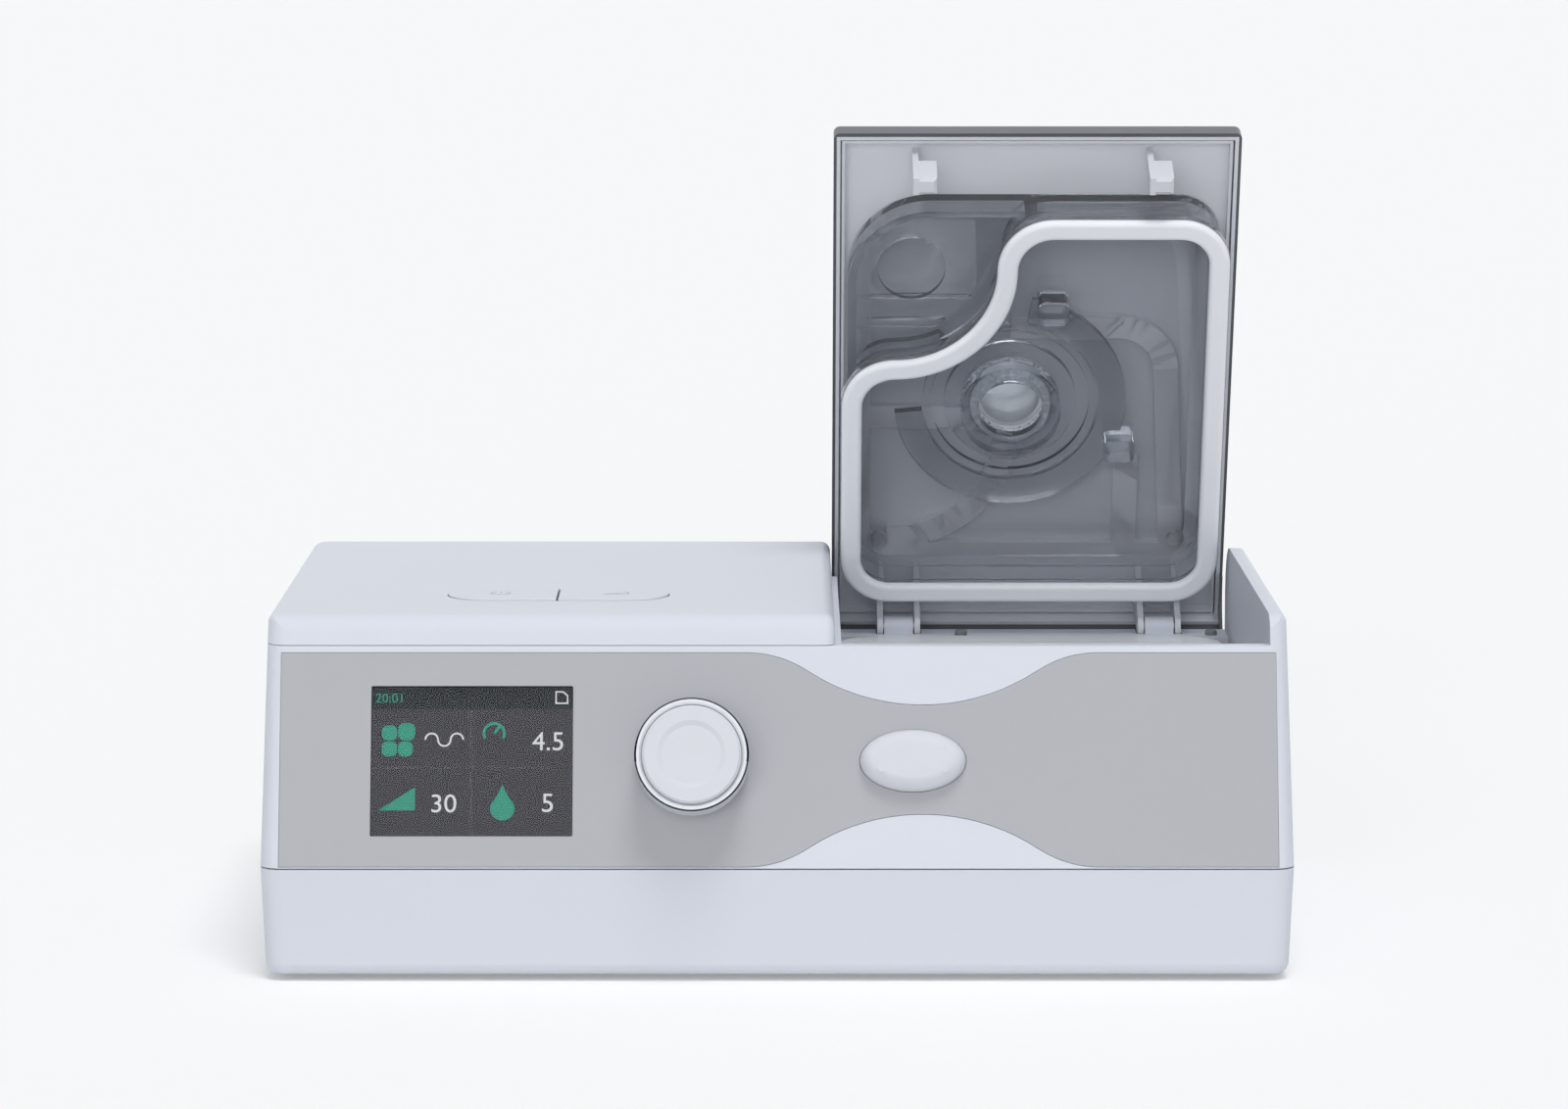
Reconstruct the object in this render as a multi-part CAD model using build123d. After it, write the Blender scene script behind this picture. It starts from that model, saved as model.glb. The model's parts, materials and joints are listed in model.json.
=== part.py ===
from build123d import *
import math
import os

os.makedirs("parts", exist_ok=True)

# A bedside airway-pressure machine with a heated water chamber on its right side.
# Frame: X to the right, Y to the back, Z up. The origin lies on the table, under the middle of the
# whole machine with its lid open. Millimetres and degrees.

# Casing
CASE_WIDTH = 294.4  # widest, at the middle seam
CASE_DEPTH = 190.0
CASE_TOP = 102.4  # table to the closed top
FRONT_Y = -99.0  # lower front face
FOOT_PROUD = 1.5
MID_SEAM = 32.5  # base shell to middle housing
TOP_SEAM = 93.9  # middle housing to top cover and lid
FRONT_SLANT = 16.8  # the upper front leans back by this
SIDE_DRAFT = 1.0  # the sides close in towards the top
SIDE_WALL = 6.3  # right side of the casing to the inner edge of the wall beside the lid
BASE_DRAFT = 1.4
WALL = 2.5
SEAM_GAP = 0.4
CORNER_R = 6.0
TOP_FRONT_R = 7.0
TOP_BACK_R = 3.0
TOP_SIDE_R = 2.6
BOTTOM_R = 3.5
TONGUE = 1.3  # locating lip between two shells
TONGUE_REACH = 3.0
CLEAR = 0.4  # between parts that move past each other
TOUCH_GAP = 0.2  # between parts that are placed in each other
ROOT = 0.5  # what grows from a wall or a floor starts this far inside it
THIN_ROOT = 0.2  # the same for thin ribs and small parts
PAST = 1.0  # a cut starts and ends this far past what it opens
REACH = 10.0  # half length of a cut that passes right through a wall

# Top cover and its two buttons
COVER_END_R = 3.0
PILL_X = -64.2
PILL_Y = 63.5  # back from the lower front face
PILL_WIDTH = 64.4
PILL_DEPTH = 24.0
PILL_R = 11.9
PILL_PROUD = 0.5
PILL_SPLIT = 0.7
BUTTON_TRAVEL = 0.8
BUTTON_EDGE_R = 0.4
BUTTON_FLANGE = 1.2
BUTTON_LEDGE = 1.4  # the flange reaches past the edge of the cap by this
PLUNGER_R = 2.5
PLUNGER_LENGTH = 2.5  # below the flange
SWITCH_SIZE = 6.0
SWITCH_BODY = 2.8
SWITCH_KEY = 0.8
SWITCH_KEY_R = 1.7
SWITCH_HIGH = 3.5  # switch board to the top of the switch key
SWITCH_BOARD_DEPTH = 16.0
BRIDGE_PAST = 6.0  # the bracket of the switch board is longer than the buttons by this at each end
BRIDGE_DEPTH = 18.0
BRIDGE_THICK = 1.6
BRIDGE_LEG = 3.0

# Front panel, sizes along the slanted face measured up from the middle seam
FASCIA_BORDER = 5.2  # side of the casing to the panel
FASCIA_X = 0.4
FASCIA_LOW = 0.7
FASCIA_TOP_BORDER = 2.0
FASCIA_THICK = 1.0
FASCIA_PROUD = 0.1
FASCIA_FIT = 0.15  # round the panel in its recess
WAIST_FROM_LID = 37.4  # middle of the lid to the middle of the waist
WAIST_HALF = 50.2
WAIST_DEPTH = 15.1
WAIST_SHOULDER_R = 31.5
CONTROL_ROW = 31.0  # screen, knob and latch button share this line
SCREEN_FROM_SIDE = 60.2  # left side of the casing to the middle of the screen
SCREEN_WIDTH = 57.6
SCREEN_HEIGHT = 43.2
LENS_THICK = 1.2
LENS_BORDER = 4.0
LENS_R = 2.0
WINDOW_R = 0.5  # corners of the screen's window in the panel
LCD_BORDER = 3.5
LCD_GAP = 0.4  # air between the window and the display
KNOB_FROM_SCREEN = 62.8
KNOB_R = 16.2
KNOB_PROUD = 15.4
KNOB_TURN_GAP = 0.8
KNOB_DISH_R = 9.0
KNOB_DISH = 0.5
KNOB_BASE = 3.0
KNOB_BASE_INSET = 0.5
KNOB_EDGE = 0.7
KNOB_RING_WIDTH = 1.9
KNOB_RING_BEVEL = 0.6
KNOB_RING_DROP = 0.2
KNOB_GROOVE = 0.25  # between the ring and the front of the cap
KNOB_GROOVE_DEPTH = 1.6
KNOB_SOLID = 5.0  # end of the shaft to the front of the cap
SHAFT_R = 3.0
ENCODER_WIDTH = 14.0
ENCODER_HEIGHT = 13.0
ENCODER_GAP = 1.0  # front wall to the encoder
ENCODER_BORE = 5.0
ENCODER_PLUNGER_SUNK = 4.2  # front of the encoder to the low side of its plunger
ENCODER_PLUNGER = 2.0
ENCODER_PLUNGER_LIP = 1.5
LATCH_FROM_WAIST = 2.8
LATCH_WIDTH = 30.2
LATCH_HEIGHT = 17.8
LATCH_PROUD = 5.0
LATCH_EDGE_R = 4.6
LATCH_GAP = 0.15
LATCH_TRAVEL = 2.5
LATCH_STEM = 8.0
LATCH_STEM_HEIGHT = 8.0
LATCH_FLANGE = 1.6
LATCH_FLANGE_THICK = 1.2
LATCH_FLANGE_GAP = 1.0  # front wall to the flange of the button
LATCH_RIBS = 4
LATCH_RIB_PITCH = 6.0
LATCH_RIB_LENGTH = 6.0
LATCH_RIB_WIDTH = 1.6
LATCH_RIB_PROUD = 0.15
BAR_THICK = 1.8
RAIL_GAP = 0.6  # front wall to the rail, which runs above the button
RAIL_HEIGHT = 6.0
RAIL_PAST_HOOK = 7.0
ARM_GAP = 2.6  # pressed button to the arm, which hangs behind it
ARM_START = 1.0  # stem to the arm
ARM_WIDTH = 8.0
ARM_STEP = 3.0  # button to the step of the arm
ARM_LOW = 5.0  # control row to the lower end of the arm
FOLLOWER_HEIGHT = 7.0
FOLLOWER_DEPTH = 3.0
NOSE_THICK = 2.2
NOSE_WIDTH = 6.0
NOSE_ROOT = 1.2  # back of the front wall to the root of the nose, less the rail's gap
NOSE_SLACK = 0.1

# Lid and hinge
LID_WIDTH = 123.6
LID_GAP_LEFT = 0.6
LID_GAP_RIGHT = 0.3
LID_LIP = 2.9  # the free end stands this far in front of the casing's top edge
LID_END_SLANT = 9.7
LID_EDGE_R = 1.0
LID_CORNER_R = 1.9
LID_RIM = 8.2  # outer skin to the rim
LID_OPEN = 67.0
SKIN_TOP = 1.6
SKIN_END = 1.2
SKIN_BACK = 2.0
SKIN_SIDE = 0.9
LINER_FACE = 4.2  # outer skin to the inner face of the liner
LINER_RIM = 1.1
LINER_GROOVE = 0.5
LINER_RIB = 0.9
LINER_RIB_SUNK = 1.0  # the rib stays this far inside the rim
LINER_TAIL = 12.1  # outer skin to the lower edge of the liner's wall at the hinge
LINER_BORDER = 6.0  # seal line to the opening of the liner
LINER_BOSS_R = 14.5
LINER_BAR = 7.6  # width of the bars that cross the opening
HINGE_BACK = 9.7  # hinge axis to the back of the casing
HINGE_Z = 76.4
SKIRT_LOW = 76.8  # lower edge of the skirt at the back of the lid
SKIRT_R = 16.0
EAR_X = 40.9  # middle of each hinge from the middle of the lid
EAR_SPREAD = 11.6
EAR_THICK = 1.8
EAR_R = 3.8
EAR_ROOT = 9.0
PIN_R = 1.5
PIN_RUN = 0.05
KNUCKLE_R = 3.2
HOOK_LEFT_X = -38.0
HOOK_RIGHT_X = 33.2
HOOK_FROM_END = 10.7  # free end of the lid to the far side of the hooks
HOOK_DEPTH = 5.5
HOOK_ARM = 1.8
HOOK_HEAD = 7.2
HOOK_REACH = 21.4
HOOK_HEAD_LENGTH = 12.2
HOOK_TIP = 1.0  # chamfer at the end of the head

# Chamber cover, seen in the plan of the lid: x from the middle of the lid, s from its hinge end
SEAL_BORDER_LEFT = 5.8  # side of the lid to the middle line of the seal
SEAL_BORDER_RIGHT = 6.6
SEAL_NEAR = 22.0
SEAL_BORDER_FAR = 22.5
SEAL_R = 12.0
SEAL_WIDTH = 6.2
SEAL_THICK = 2.3
SEAL_EDGE_R = 1.6
STEP_FROM_FAR = 48.1  # the seal turns in here, to pass the air port
STEP_R = 34.0
STEP_NEAR_R = 13.0
STEP_FAR_R = 14.0
COVER_CORNER_R = 24.0
COVER_PLATE = 2.2
COVER_WALL = 2.7
COVER_FLANGE = 3.4
COVER_FLANGE_THICK = 2.2
COVER_RIM = 25.0  # outer skin of the lid to the rim of the cover
CORNER_SHELF = 13.9
SHELF_THICK = 2.0
COVER_STEPS = ((12.6, 0.9), (20.4, 0.45))  # inner steps of its wall: depth and thickness
PORT_INSET = 18.0  # left line of the seal to the air port
PORT_FROM_FAR = 18.2
PORT_R = 10.4
OUTLET_X = -6.7
OUTLET_FROM_STEP = 20.2
OUTLET_BORE_R = 10.3
OUTLET_TUBE_R = 15.5
OUTLET_TUBE_END = 16.0
OUTLET_STEP_R = 20.5  # low step round the foot of the tube
OUTLET_STEP = 2.6
LOCK_IN_R = 27.5
LOCK_OUT_R = 36.0
LOCK_THICK = 3.0
LOCK_LUG_CENTRE_R = 36.5
LOCK_LUG_WIDTH = 9.6
LOCK_LUG_LENGTH = 7.4
LOCK_LUG_HEIGHT = 10.0
LOCK_LUG_R = 2.0
LOCK_LUG_ANGLES = (70.0, -22.0)
LOCK_OPEN_ANGLES = (80.0, 186.0)  # the ring is open beside the air port
SEAT_RIB = 2.0
SEAT_RIB_WIDTH = 2.5
CORNER_RIBS = ((24.0, 21.2), (14.0, 13.2))  # start and end of each, from the air port to the hinge end
CORNER_RIB_HEIGHT = 2.0
AIR_WINDOW_WIDTH = 22.0
AIR_WINDOW_HEIGHT = 6.0
COVER_SCREW_INSET = 9.0
COVER_SCREW_STEP = 12.0  # the screw under the step of the outline stands back by this
COVER_SCREW_R = 2.4
COVER_SCREW_HEAD = 1.6

# Outlet elbow, the 22 mm cone of breathing tubes
HOSE_R = 11.0
ELBOW_BORE = 9.2
ELBOW_RISE = 15.0
ELBOW_REACH = 44.0
ELBOW_GRIP = 22.0
ELBOW_FOOT_R = 12.4
ELBOW_FOOT = 1.4
ELBOW_COLLAR_R = 14.5
ELBOW_COLLAR = 2.6
ELBOW_SLEEVE = 1.0  # thicker wall at the bend
ELBOW_SEAL_GAP = 0.1
ELBOW_SEAL_END = 1.5  # foot of the elbow to the far side of its seal

# Tub bay of the middle housing
BAY_WALL_BACK = 33.0  # front wall of the bay, back from the lower front face
BAY_WALL = 2.0
FRONT_DECK = 23.0  # back edge of the front deck
DECK_THICK = 2.0
DECK_Z = 74.5
DECK_PLATE = 2.5
HINGE_WEB = 4.0  # hinge axis to the upright web
HINGE_WEB_DROP = 5.0
LEDGE_BACK = 1.0  # back of the casing to the edge of the ledge
FRONT_WALL_DROP = 3.0  # hinge deck's height to the top of the bay's front wall
PARTITION_RIB_END = 4.0
DECK_REACH = 8.3  # hinge axis to the front edge of the hinge deck
BARREL_R = 7.2
LEDGE_Z = 62.0
WALL_BACK_R = 16.0
WALL_BACK = 4.0
PARTITION_RIB = 2.0
ISLAND_TOP = 84.0
ISLAND_LOW = 38.0
ISLAND_GAP = 4.3  # seal line to the island
PORT_SEAL = 2.2
PORT_SEAL_WIDTH = 2.2
DUCT_Y = 57.0
DUCT_Z = 60.0
DUCT_R = 10.0
DUCT_WALL = 2.0
DUCT_END_WALL = 1.5
DUCT_MOUTH = 6.0  # the mouth at the blower is taller than wide by this
DUCT_MOUTH_R = 4.0

# Water tub
TUB_FLOOR = 11.0
TUB_RIM = 74.8
TUB_RIM_THICK = 2.4
TUB_WALL = 2.0
TUB_FLANGE = 3.2
TUB_SHELF = 13.0  # flat rim beside the hinge
TUB_PLATE = 1.0
TUB_PLATE_BORDER = 3.6
HEATER_BORDER = 3.0
HEATER_THICK = 3.0
HEATER_LIP = 3.0
HEATER_WELL = 2.0
HEATER_WELL_DROP = 0.5  # top of the heater to the rim of its well
HEATER_RING_DROP = 0.6
HEATER_SHIFT = 4.0  # to the right of the middle of the tub, clear of the raised corner
DAMPER_R = 1.9
DAMPER_PROUD = 1.8
DAMPER_LEFT = 21.5  # middle of the lid to the left damper
DAMPER_INSET = 1.5
DAMPER_BACK = 0.6

# Blower
BLOWER_X = -48.0
BLOWER_BACK = 88.0
BLOWER_R = 38.0
BLOWER_LOW = 12.0
BLOWER_SPLIT = 30.0
BLOWER_HIGH = 46.0
BLOWER_WALL = 2.0
IMPELLER_R = 26.0
IMPELLER_HEIGHT = 12.0
BLADES = 11
BLADE_THICK = 1.2
BLADE_START = 8.0
BLADE_END = (0.78, -0.58)  # shares of the impeller's radius
BLADE_BOW = 0.8
BLADE_GAP = 0.5
IMPELLER_DISC = 1.2
HUB_R = 5.0
EYE_R = 12.0
MOTOR_R = 17.0
MOTOR_HEIGHT = 20.0
MOTOR_SHAFT_R = 2.0
MOTOR_SHAFT_LOW = 0.5  # the shaft ends this far below the impeller
MOTOR_SHAFT_IN = 4.0
MOTOR_SHAFT_GAP = 4.0
MOTOR_EDGE_R = 2.0
EXIT_WIDTH = 20.0
EXIT_PAST = 6.0
MOUNT_R = 3.6
MOUNT_HEIGHT = 3.0
MOUNT_POST_R = 4.0
MOUNT_INSET = 8.0  # outside of the blower to the middle of its mounts

# Back of the machine
FILTER_FROM_SIDE = 49.2
FILTER_Z = 60.0
FILTER_WIDTH = 46.0
FILTER_HEIGHT = 34.0
FILTER_THICK = 7.0
DOOR_THICK = 2.5
DOOR_BORDER = 3.0
DOOR_R = 2.5
SLOTS = 6
SLOT_HEIGHT = 2.4
SLOT_INSET = 8.0
SLOT_BORDER = 4.0
FILTER_SLACK = 0.6
INTAKE_DEPTH = 44.0
INTAKE_WALL = 2.0
INTAKE_OPEN = 0.1  # the room of the box runs past its open end by half of this
INTAKE_LEG_R = 4.0
FOAM_GAP = 4.0
FOAM_SHORT = 16.0  # the foam is shorter than the box by this
FOAM_SLACK = 1.0
JACK_X = -20.0
JACK_Z = 19.0
JACK_R = 4.5
JACK_SLACK = 0.1
JACK_FLANGE_WIDTH = 13.0
JACK_FLANGE_HEIGHT = 12.0
JACK_FLANGE = 1.5
JACK_BODY = 11.0
JACK_BODY_DEPTH = 12.0
JACK_BODY_BACK = 9.5  # back of the casing to the middle of the body
JACK_BORE_R = 2.8
JACK_BORE = 11.0
JACK_PIN_R = 1.0
JACK_PIN = 12.0
JACK_PIN_BACK = 8.0
JACK_BLOCK = (15.5, 18.0)  # near and far side of the stop behind the body
JACK_BLOCK_WIDTH = 18.0
JACK_BLOCK_RISE = 6.5
CARD_BACK = 60.0
CARD_Z = 56.0
CARD_WIDTH = 24.0
CARD_LENGTH = 32.0
CARD_THICK = 2.1
CARD_SUNK = 0.8
CARD_GAP = 0.3
CARD_SLACK = 0.1
CARD_SOCKET_GAP = 1.0
CARD_SOCKET_WIDTH = 29.0
CARD_SOCKET_END = 2.0
CARD_SOCKET_LOW = 3.1  # middle of the card to the underside of the socket
CARD_SOCKET_HIGH = 2.2
CARD_SHELF = 34.0
CARD_SHELF_THICK = 2.0
CARD_SHELF_BORDER = 2.0

# Fixings and boards
FOOT_R = 9.0
FOOT_SEAT = 0.8
FOOT_FROM_SIDE = 25.2
FOOT_INSET = 24.0
BOSS_R = 5.0
BOSS_FROM_SIDE = 14.2
BOSS_INSET = 12.0
BOSS_END = 4.0  # closed end of a boss above its screw
BOSS_WEB = 2.4
BOSS_WEB_LOW = 1.5
SCREW_R = 1.5
SCREW_HEAD_R = 3.0
SCREW_LENGTH = 40.0
SCREW_HEAD = 2.2
SCREW_SUNK = 1.0
SCREW_SLOT = 1.0
SCREW_SLOT_LENGTH = 4.0
SCREW_SLOT_DEPTH = 0.8
BOARD_THICK = 1.6
BOARD_BACK_OFF = 12.0
BOARD_POST_R = 2.0
MAIN_BOARD_SIDE = 5.2  # left side of the casing to the main board
MAIN_BOARD_GAP = 12.0  # main board to the blower
MAIN_BOARD_BACK = (30.0, 130.0)
MAIN_BOARD_LIFT = 6.0
MAIN_POST_R = 3.0
MAIN_POST_LEFT = 8.0
MAIN_POST_INSET = 6.0
CAPACITORS = 3
CAPACITOR_BORDER = 10.0  # side of the board to the middle of the outer capacitors
CAPACITOR_BACK = 22.0
CAPACITOR_HIGH = 12.0
CAPACITOR_SHARE = 0.375  # its radius as a share of their pitch
TRANSFORMER_WIDTH = 24.0
TRANSFORMER_BACK = (40.0, 62.0)
TRANSFORMER_HIGH = 8.0
DRIVER_WIDTH = 14.0
DRIVER_BACK = (70.0, 84.0)
DRIVER_HIGH = 1.6
DISPLAY_BOARD_HEIGHT = 56.0
DISPLAY_BOARD_PAST_KNOB = 24.2
DISPLAY_POST_INSET = 8.0
DISPLAY_POSTS_LEFT = (6.0, 54.0)  # up the face
DISPLAY_POSTS_RIGHT = (12.0, 54.0)
CHIP_HIGH = 1.8
PROCESSOR_SIZE = 14.0
MEMORY_PLACE = (-26.0, -12.0)  # from the middle of the screen
MEMORY_SIZE = (9.0, 6.0)
DRIVER_PLACE = (30.0, 14.0)
DRIVER_SIZE = (10.0, 8.0)

# Worked out from the above
BACK_Y = FRONT_Y + CASE_DEPTH
CASE_BOTTOM = FOOT_PROUD
HINGE_Y = BACK_Y - HINGE_BACK
DECK_FRONT = HINGE_Y - DECK_REACH
SLANT_TAN = math.tan(math.radians(FRONT_SLANT))
SLANT_COS = math.cos(math.radians(FRONT_SLANT))
SLANT_SIN = math.sin(math.radians(FRONT_SLANT))
LEFT_SIDE = -CASE_WIDTH / 2
RIGHT_SIDE = CASE_WIDTH / 2
LID_SIDE_X = RIGHT_SIDE - SIDE_WALL
LID_RIGHT = LID_SIDE_X - LID_GAP_RIGHT
LID_LEFT = LID_RIGHT - LID_WIDTH
LID_X = (LID_LEFT + LID_RIGHT) / 2
LID_LENGTH = CASE_DEPTH - (CASE_TOP - MID_SEAM) * SLANT_TAN + LID_LIP
COVER_END_X = LID_LEFT - LID_GAP_LEFT
SEAL_LEFT = SEAL_BORDER_LEFT - LID_WIDTH / 2
SEAL_RIGHT = LID_WIDTH / 2 - SEAL_BORDER_RIGHT
SEAL_FAR = LID_LENGTH - SEAL_BORDER_FAR
STEP_S = SEAL_FAR - STEP_FROM_FAR
PORT_X = SEAL_LEFT + PORT_INSET
PORT_S = SEAL_FAR - PORT_FROM_FAR
OUTLET_S = STEP_S - OUTLET_FROM_STEP
HOOK_S = LID_LENGTH - HOOK_FROM_END
TUB_PLATE_R = (STEP_S - SEAL_NEAR) / 2 - TUB_PLATE_BORDER
HEATER_R = TUB_PLATE_R + HEATER_BORDER
WAIST_X = LID_X - WAIST_FROM_LID
LATCH_X = WAIST_X - LATCH_FROM_WAIST
SCREEN_X = LEFT_SIDE + SCREEN_FROM_SIDE
KNOB_X = SCREEN_X + KNOB_FROM_SCREEN
KNOB_RING_IN = KNOB_R - KNOB_RING_WIDTH
KNOB_SHAFT_END = KNOB_PROUD - KNOB_SOLID
FASCIA_WIDTH = CASE_WIDTH - 2 * FASCIA_BORDER
FASCIA_HIGH = (TOP_SEAM - MID_SEAM) / SLANT_COS - FASCIA_TOP_BORDER
FILTER_X = LEFT_SIDE + FILTER_FROM_SIDE
LID_OPENING = Pos(0, HINGE_Y, HINGE_Z) * Rot(-LID_OPEN, 0, 0) * Pos(0, -HINGE_Y, -HINGE_Z)
# Local x along the face, y up along it, z out of it
FACE = Plane(
    origin=(0, FRONT_Y, MID_SEAM),
    x_dir=(1, 0, 0),
    z_dir=(0, -SLANT_COS, SLANT_SIN),
)
# Closed lid: local x from its middle, y from its hinge end to its free end, z down into the machine
LID = Plane(origin=(LID_X, BACK_Y, CASE_TOP), x_dir=(1, 0, 0), z_dir=(0, 0, -1))
HUGE = 2 * CASE_WIDTH


def save(name, shape):
    export_step(shape, f"parts/{name}.step")


def group(shapes):
    return Compound(children=[solid for shape in shapes for solid in shape.solids()])


def span_box(x, y, z):
    """A box from its lowest and highest x, y and z."""
    return Pos((x[0] + x[1]) / 2, (y[0] + y[1]) / 2, (z[0] + z[1]) / 2) * Box(
        x[1] - x[0], y[1] - y[0], z[1] - z[0]
    )


def back(distance):
    return FRONT_Y + distance


def post(x, y, z_low, z_high, radius):
    return Pos(x, y, (z_low + z_high) / 2) * Cylinder(radius, z_high - z_low)


def tube(x, y, z_low, z_high, radius, bore):
    return post(x, y, z_low, z_high, radius) - post(x, y, z_low - PAST, z_high + PAST, bore)


def on_face(x, up, out, shape):
    return FACE * Pos(x, up, out) * shape


def face_cut(x, outline):
    """An outline on the control row, run right through the front."""
    return on_face(x, CONTROL_ROW, -REACH, extrude(outline, 2 * REACH))


# ---------------------------------------------------------------- casing form


def case_width(z):
    if z <= MID_SEAM:
        return CASE_WIDTH - 2 * (MID_SEAM - z) * BASE_DRAFT / MID_SEAM
    return CASE_WIDTH - 2 * (z - MID_SEAM) * math.tan(math.radians(SIDE_DRAFT))


def front_at(z):
    return FRONT_Y + max(0.0, z - MID_SEAM) * SLANT_TAN


def case_section(z, inset):
    lean = SLANT_COS if z > MID_SEAM else 1.0
    y_low = front_at(z) + inset / lean
    y_high = BACK_Y - inset
    outline = RectangleRounded(
        case_width(z) - 2 * inset, y_high - y_low, max(CORNER_R - inset, CORNER_R / 4)
    )
    return Pos(0, (y_low + y_high) / 2, z) * outline


def casing_form(inset, z_low, z_high):
    lower = loft([case_section(z_low, inset), case_section(MID_SEAM, inset)], ruled=True)
    upper = loft([case_section(MID_SEAM, inset), case_section(z_high, inset)], ruled=True)
    return lower + upper


def side_profile():
    corners = [
        (FRONT_Y, CASE_BOTTOM),
        (FRONT_Y, MID_SEAM),
        (front_at(CASE_TOP), CASE_TOP),
        (BACK_Y, CASE_TOP),
        (BACK_Y, CASE_BOTTOM),
    ]
    face = make_face(Polyline(*corners, close=True))
    tops = face.vertices().group_by(Axis.Y)[-1].sort_by(Axis.X)
    face = fillet(tops[0], TOP_FRONT_R)
    tops = face.vertices().group_by(Axis.Y)[-1].sort_by(Axis.X)
    face = fillet(tops[-1], TOP_BACK_R)
    return extrude(Plane.YZ * face, CASE_WIDTH, both=True)


def make_outer():
    form = casing_form(0, CASE_BOTTOM, CASE_TOP)
    form = fillet(form.edges().group_by(Axis.Z)[-1], TOP_SIDE_R)
    form = fillet(form.edges().group_by(Axis.Z)[0], BOTTOM_R)
    return form & side_profile()


OUTER = make_outer()
INNER = casing_form(WALL, CASE_BOTTOM + WALL, CASE_TOP - WALL)
INNER_LIP = casing_form(WALL + TONGUE, CASE_BOTTOM + WALL, CASE_TOP - WALL)


def level(z_low, z_high):
    return span_box((-HUGE, HUGE), (-HUGE, HUGE), (z_low, z_high))


def tongue(seam):
    """The locating lip that a shell sends into the shell on the other side of its seam."""
    ring = level(seam - TONGUE_REACH, seam + TONGUE_REACH) & INNER
    return ring - INNER_LIP


# ---------------------------------------------------------------- base shell


def corner_places():
    return [
        (side * (RIGHT_SIDE - BOSS_FROM_SIDE), y)
        for side in (-1, 1)
        for y in (FRONT_Y + BOSS_INSET, BACK_Y - BOSS_INSET)
    ]


def foot_places():
    return [
        (side * (RIGHT_SIDE - FOOT_FROM_SIDE), y)
        for side in (-1, 1)
        for y in (FRONT_Y + FOOT_INSET, BACK_Y - FOOT_INSET)
    ]


SCREW_SEAT = CASE_BOTTOM + SCREW_HEAD + SCREW_SUNK
BOSS_TOP = MID_SEAM - TONGUE_REACH
TUB_CENTRE_X = LID_X + (SEAL_LEFT + SEAL_RIGHT) / 2 + HEATER_SHIFT
TUB_CENTRE_Y = BACK_Y - (SEAL_NEAR + STEP_S) / 2
HEATER_TOP = TUB_FLOOR
HEATER_LOW = TUB_FLOOR - HEATER_THICK
FLOOR = CASE_BOTTOM + WALL


def make_base_shell():
    shell = (OUTER & level(CASE_BOTTOM - PAST, MID_SEAM - SEAM_GAP / 2)) - INNER
    for x, y in corner_places():
        shell += post(x, y, FLOOR - ROOT, BOSS_TOP, BOSS_R)
    for x, y in corner_places():
        shell -= post(x, y, CASE_BOTTOM - PAST, BOSS_TOP + PAST, SCREW_R + TOUCH_GAP)
        shell -= post(x, y, CASE_BOTTOM - PAST, SCREW_SEAT, SCREW_HEAD_R + TOUCH_GAP)
    for x, y in foot_places():
        shell -= post(x, y, CASE_BOTTOM - PAST, CASE_BOTTOM + FOOT_SEAT, FOOT_R)
    # well that carries the heater
    shell += tube(
        TUB_CENTRE_X, TUB_CENTRE_Y, FLOOR - ROOT, HEATER_LOW, HEATER_R, HEATER_R - HEATER_LIP
    )
    shell += tube(
        TUB_CENTRE_X,
        TUB_CENTRE_Y,
        FLOOR - ROOT,
        HEATER_TOP - HEATER_WELL_DROP,
        HEATER_R + HEATER_LIP + HEATER_WELL,
        HEATER_R + HEATER_LIP,
    )
    for x, y in blower_mount_places():
        shell += post(x, y, FLOOR - ROOT, BLOWER_LOW - MOUNT_HEIGHT, MOUNT_POST_R)
    for x, y in main_board_posts():
        shell += post(x, y, FLOOR - ROOT, MAIN_BOARD_Z, MAIN_POST_R)
    block_x = (JACK_X - JACK_BLOCK_WIDTH / 2, JACK_X + JACK_BLOCK_WIDTH / 2)
    block_y = (BACK_Y - JACK_BLOCK[1], BACK_Y - JACK_BLOCK[0])
    shell += span_box(block_x, block_y, (FLOOR - ROOT, JACK_Z + JACK_BLOCK_RISE))
    jack_hole = Pos(JACK_X, BACK_Y, JACK_Z) * Rot(90, 0, 0) * Cylinder(JACK_R, 4 * WALL)
    return shell - jack_hole


def make_feet():
    feet = []
    for x, y in foot_places():
        foot = post(x, y, 0, CASE_BOTTOM + FOOT_SEAT, FOOT_R)
        feet.append(chamfer(foot.edges().group_by(Axis.Z)[0], FOOT_SEAT / 2))
    return group(feet)


def make_case_screws():
    screws = []
    for x, y in corner_places():
        head = post(x, y, SCREW_SEAT - SCREW_HEAD, SCREW_SEAT, SCREW_HEAD_R)
        slot = Pos(x, y, SCREW_SEAT - SCREW_HEAD) * Box(
            SCREW_SLOT, SCREW_SLOT_LENGTH, 2 * SCREW_SLOT_DEPTH
        )
        screws.append(head + post(x, y, SCREW_SEAT, SCREW_LENGTH, SCREW_R) - slot)
    return group(screws)


# ---------------------------------------------------------------- chamber outline


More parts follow.
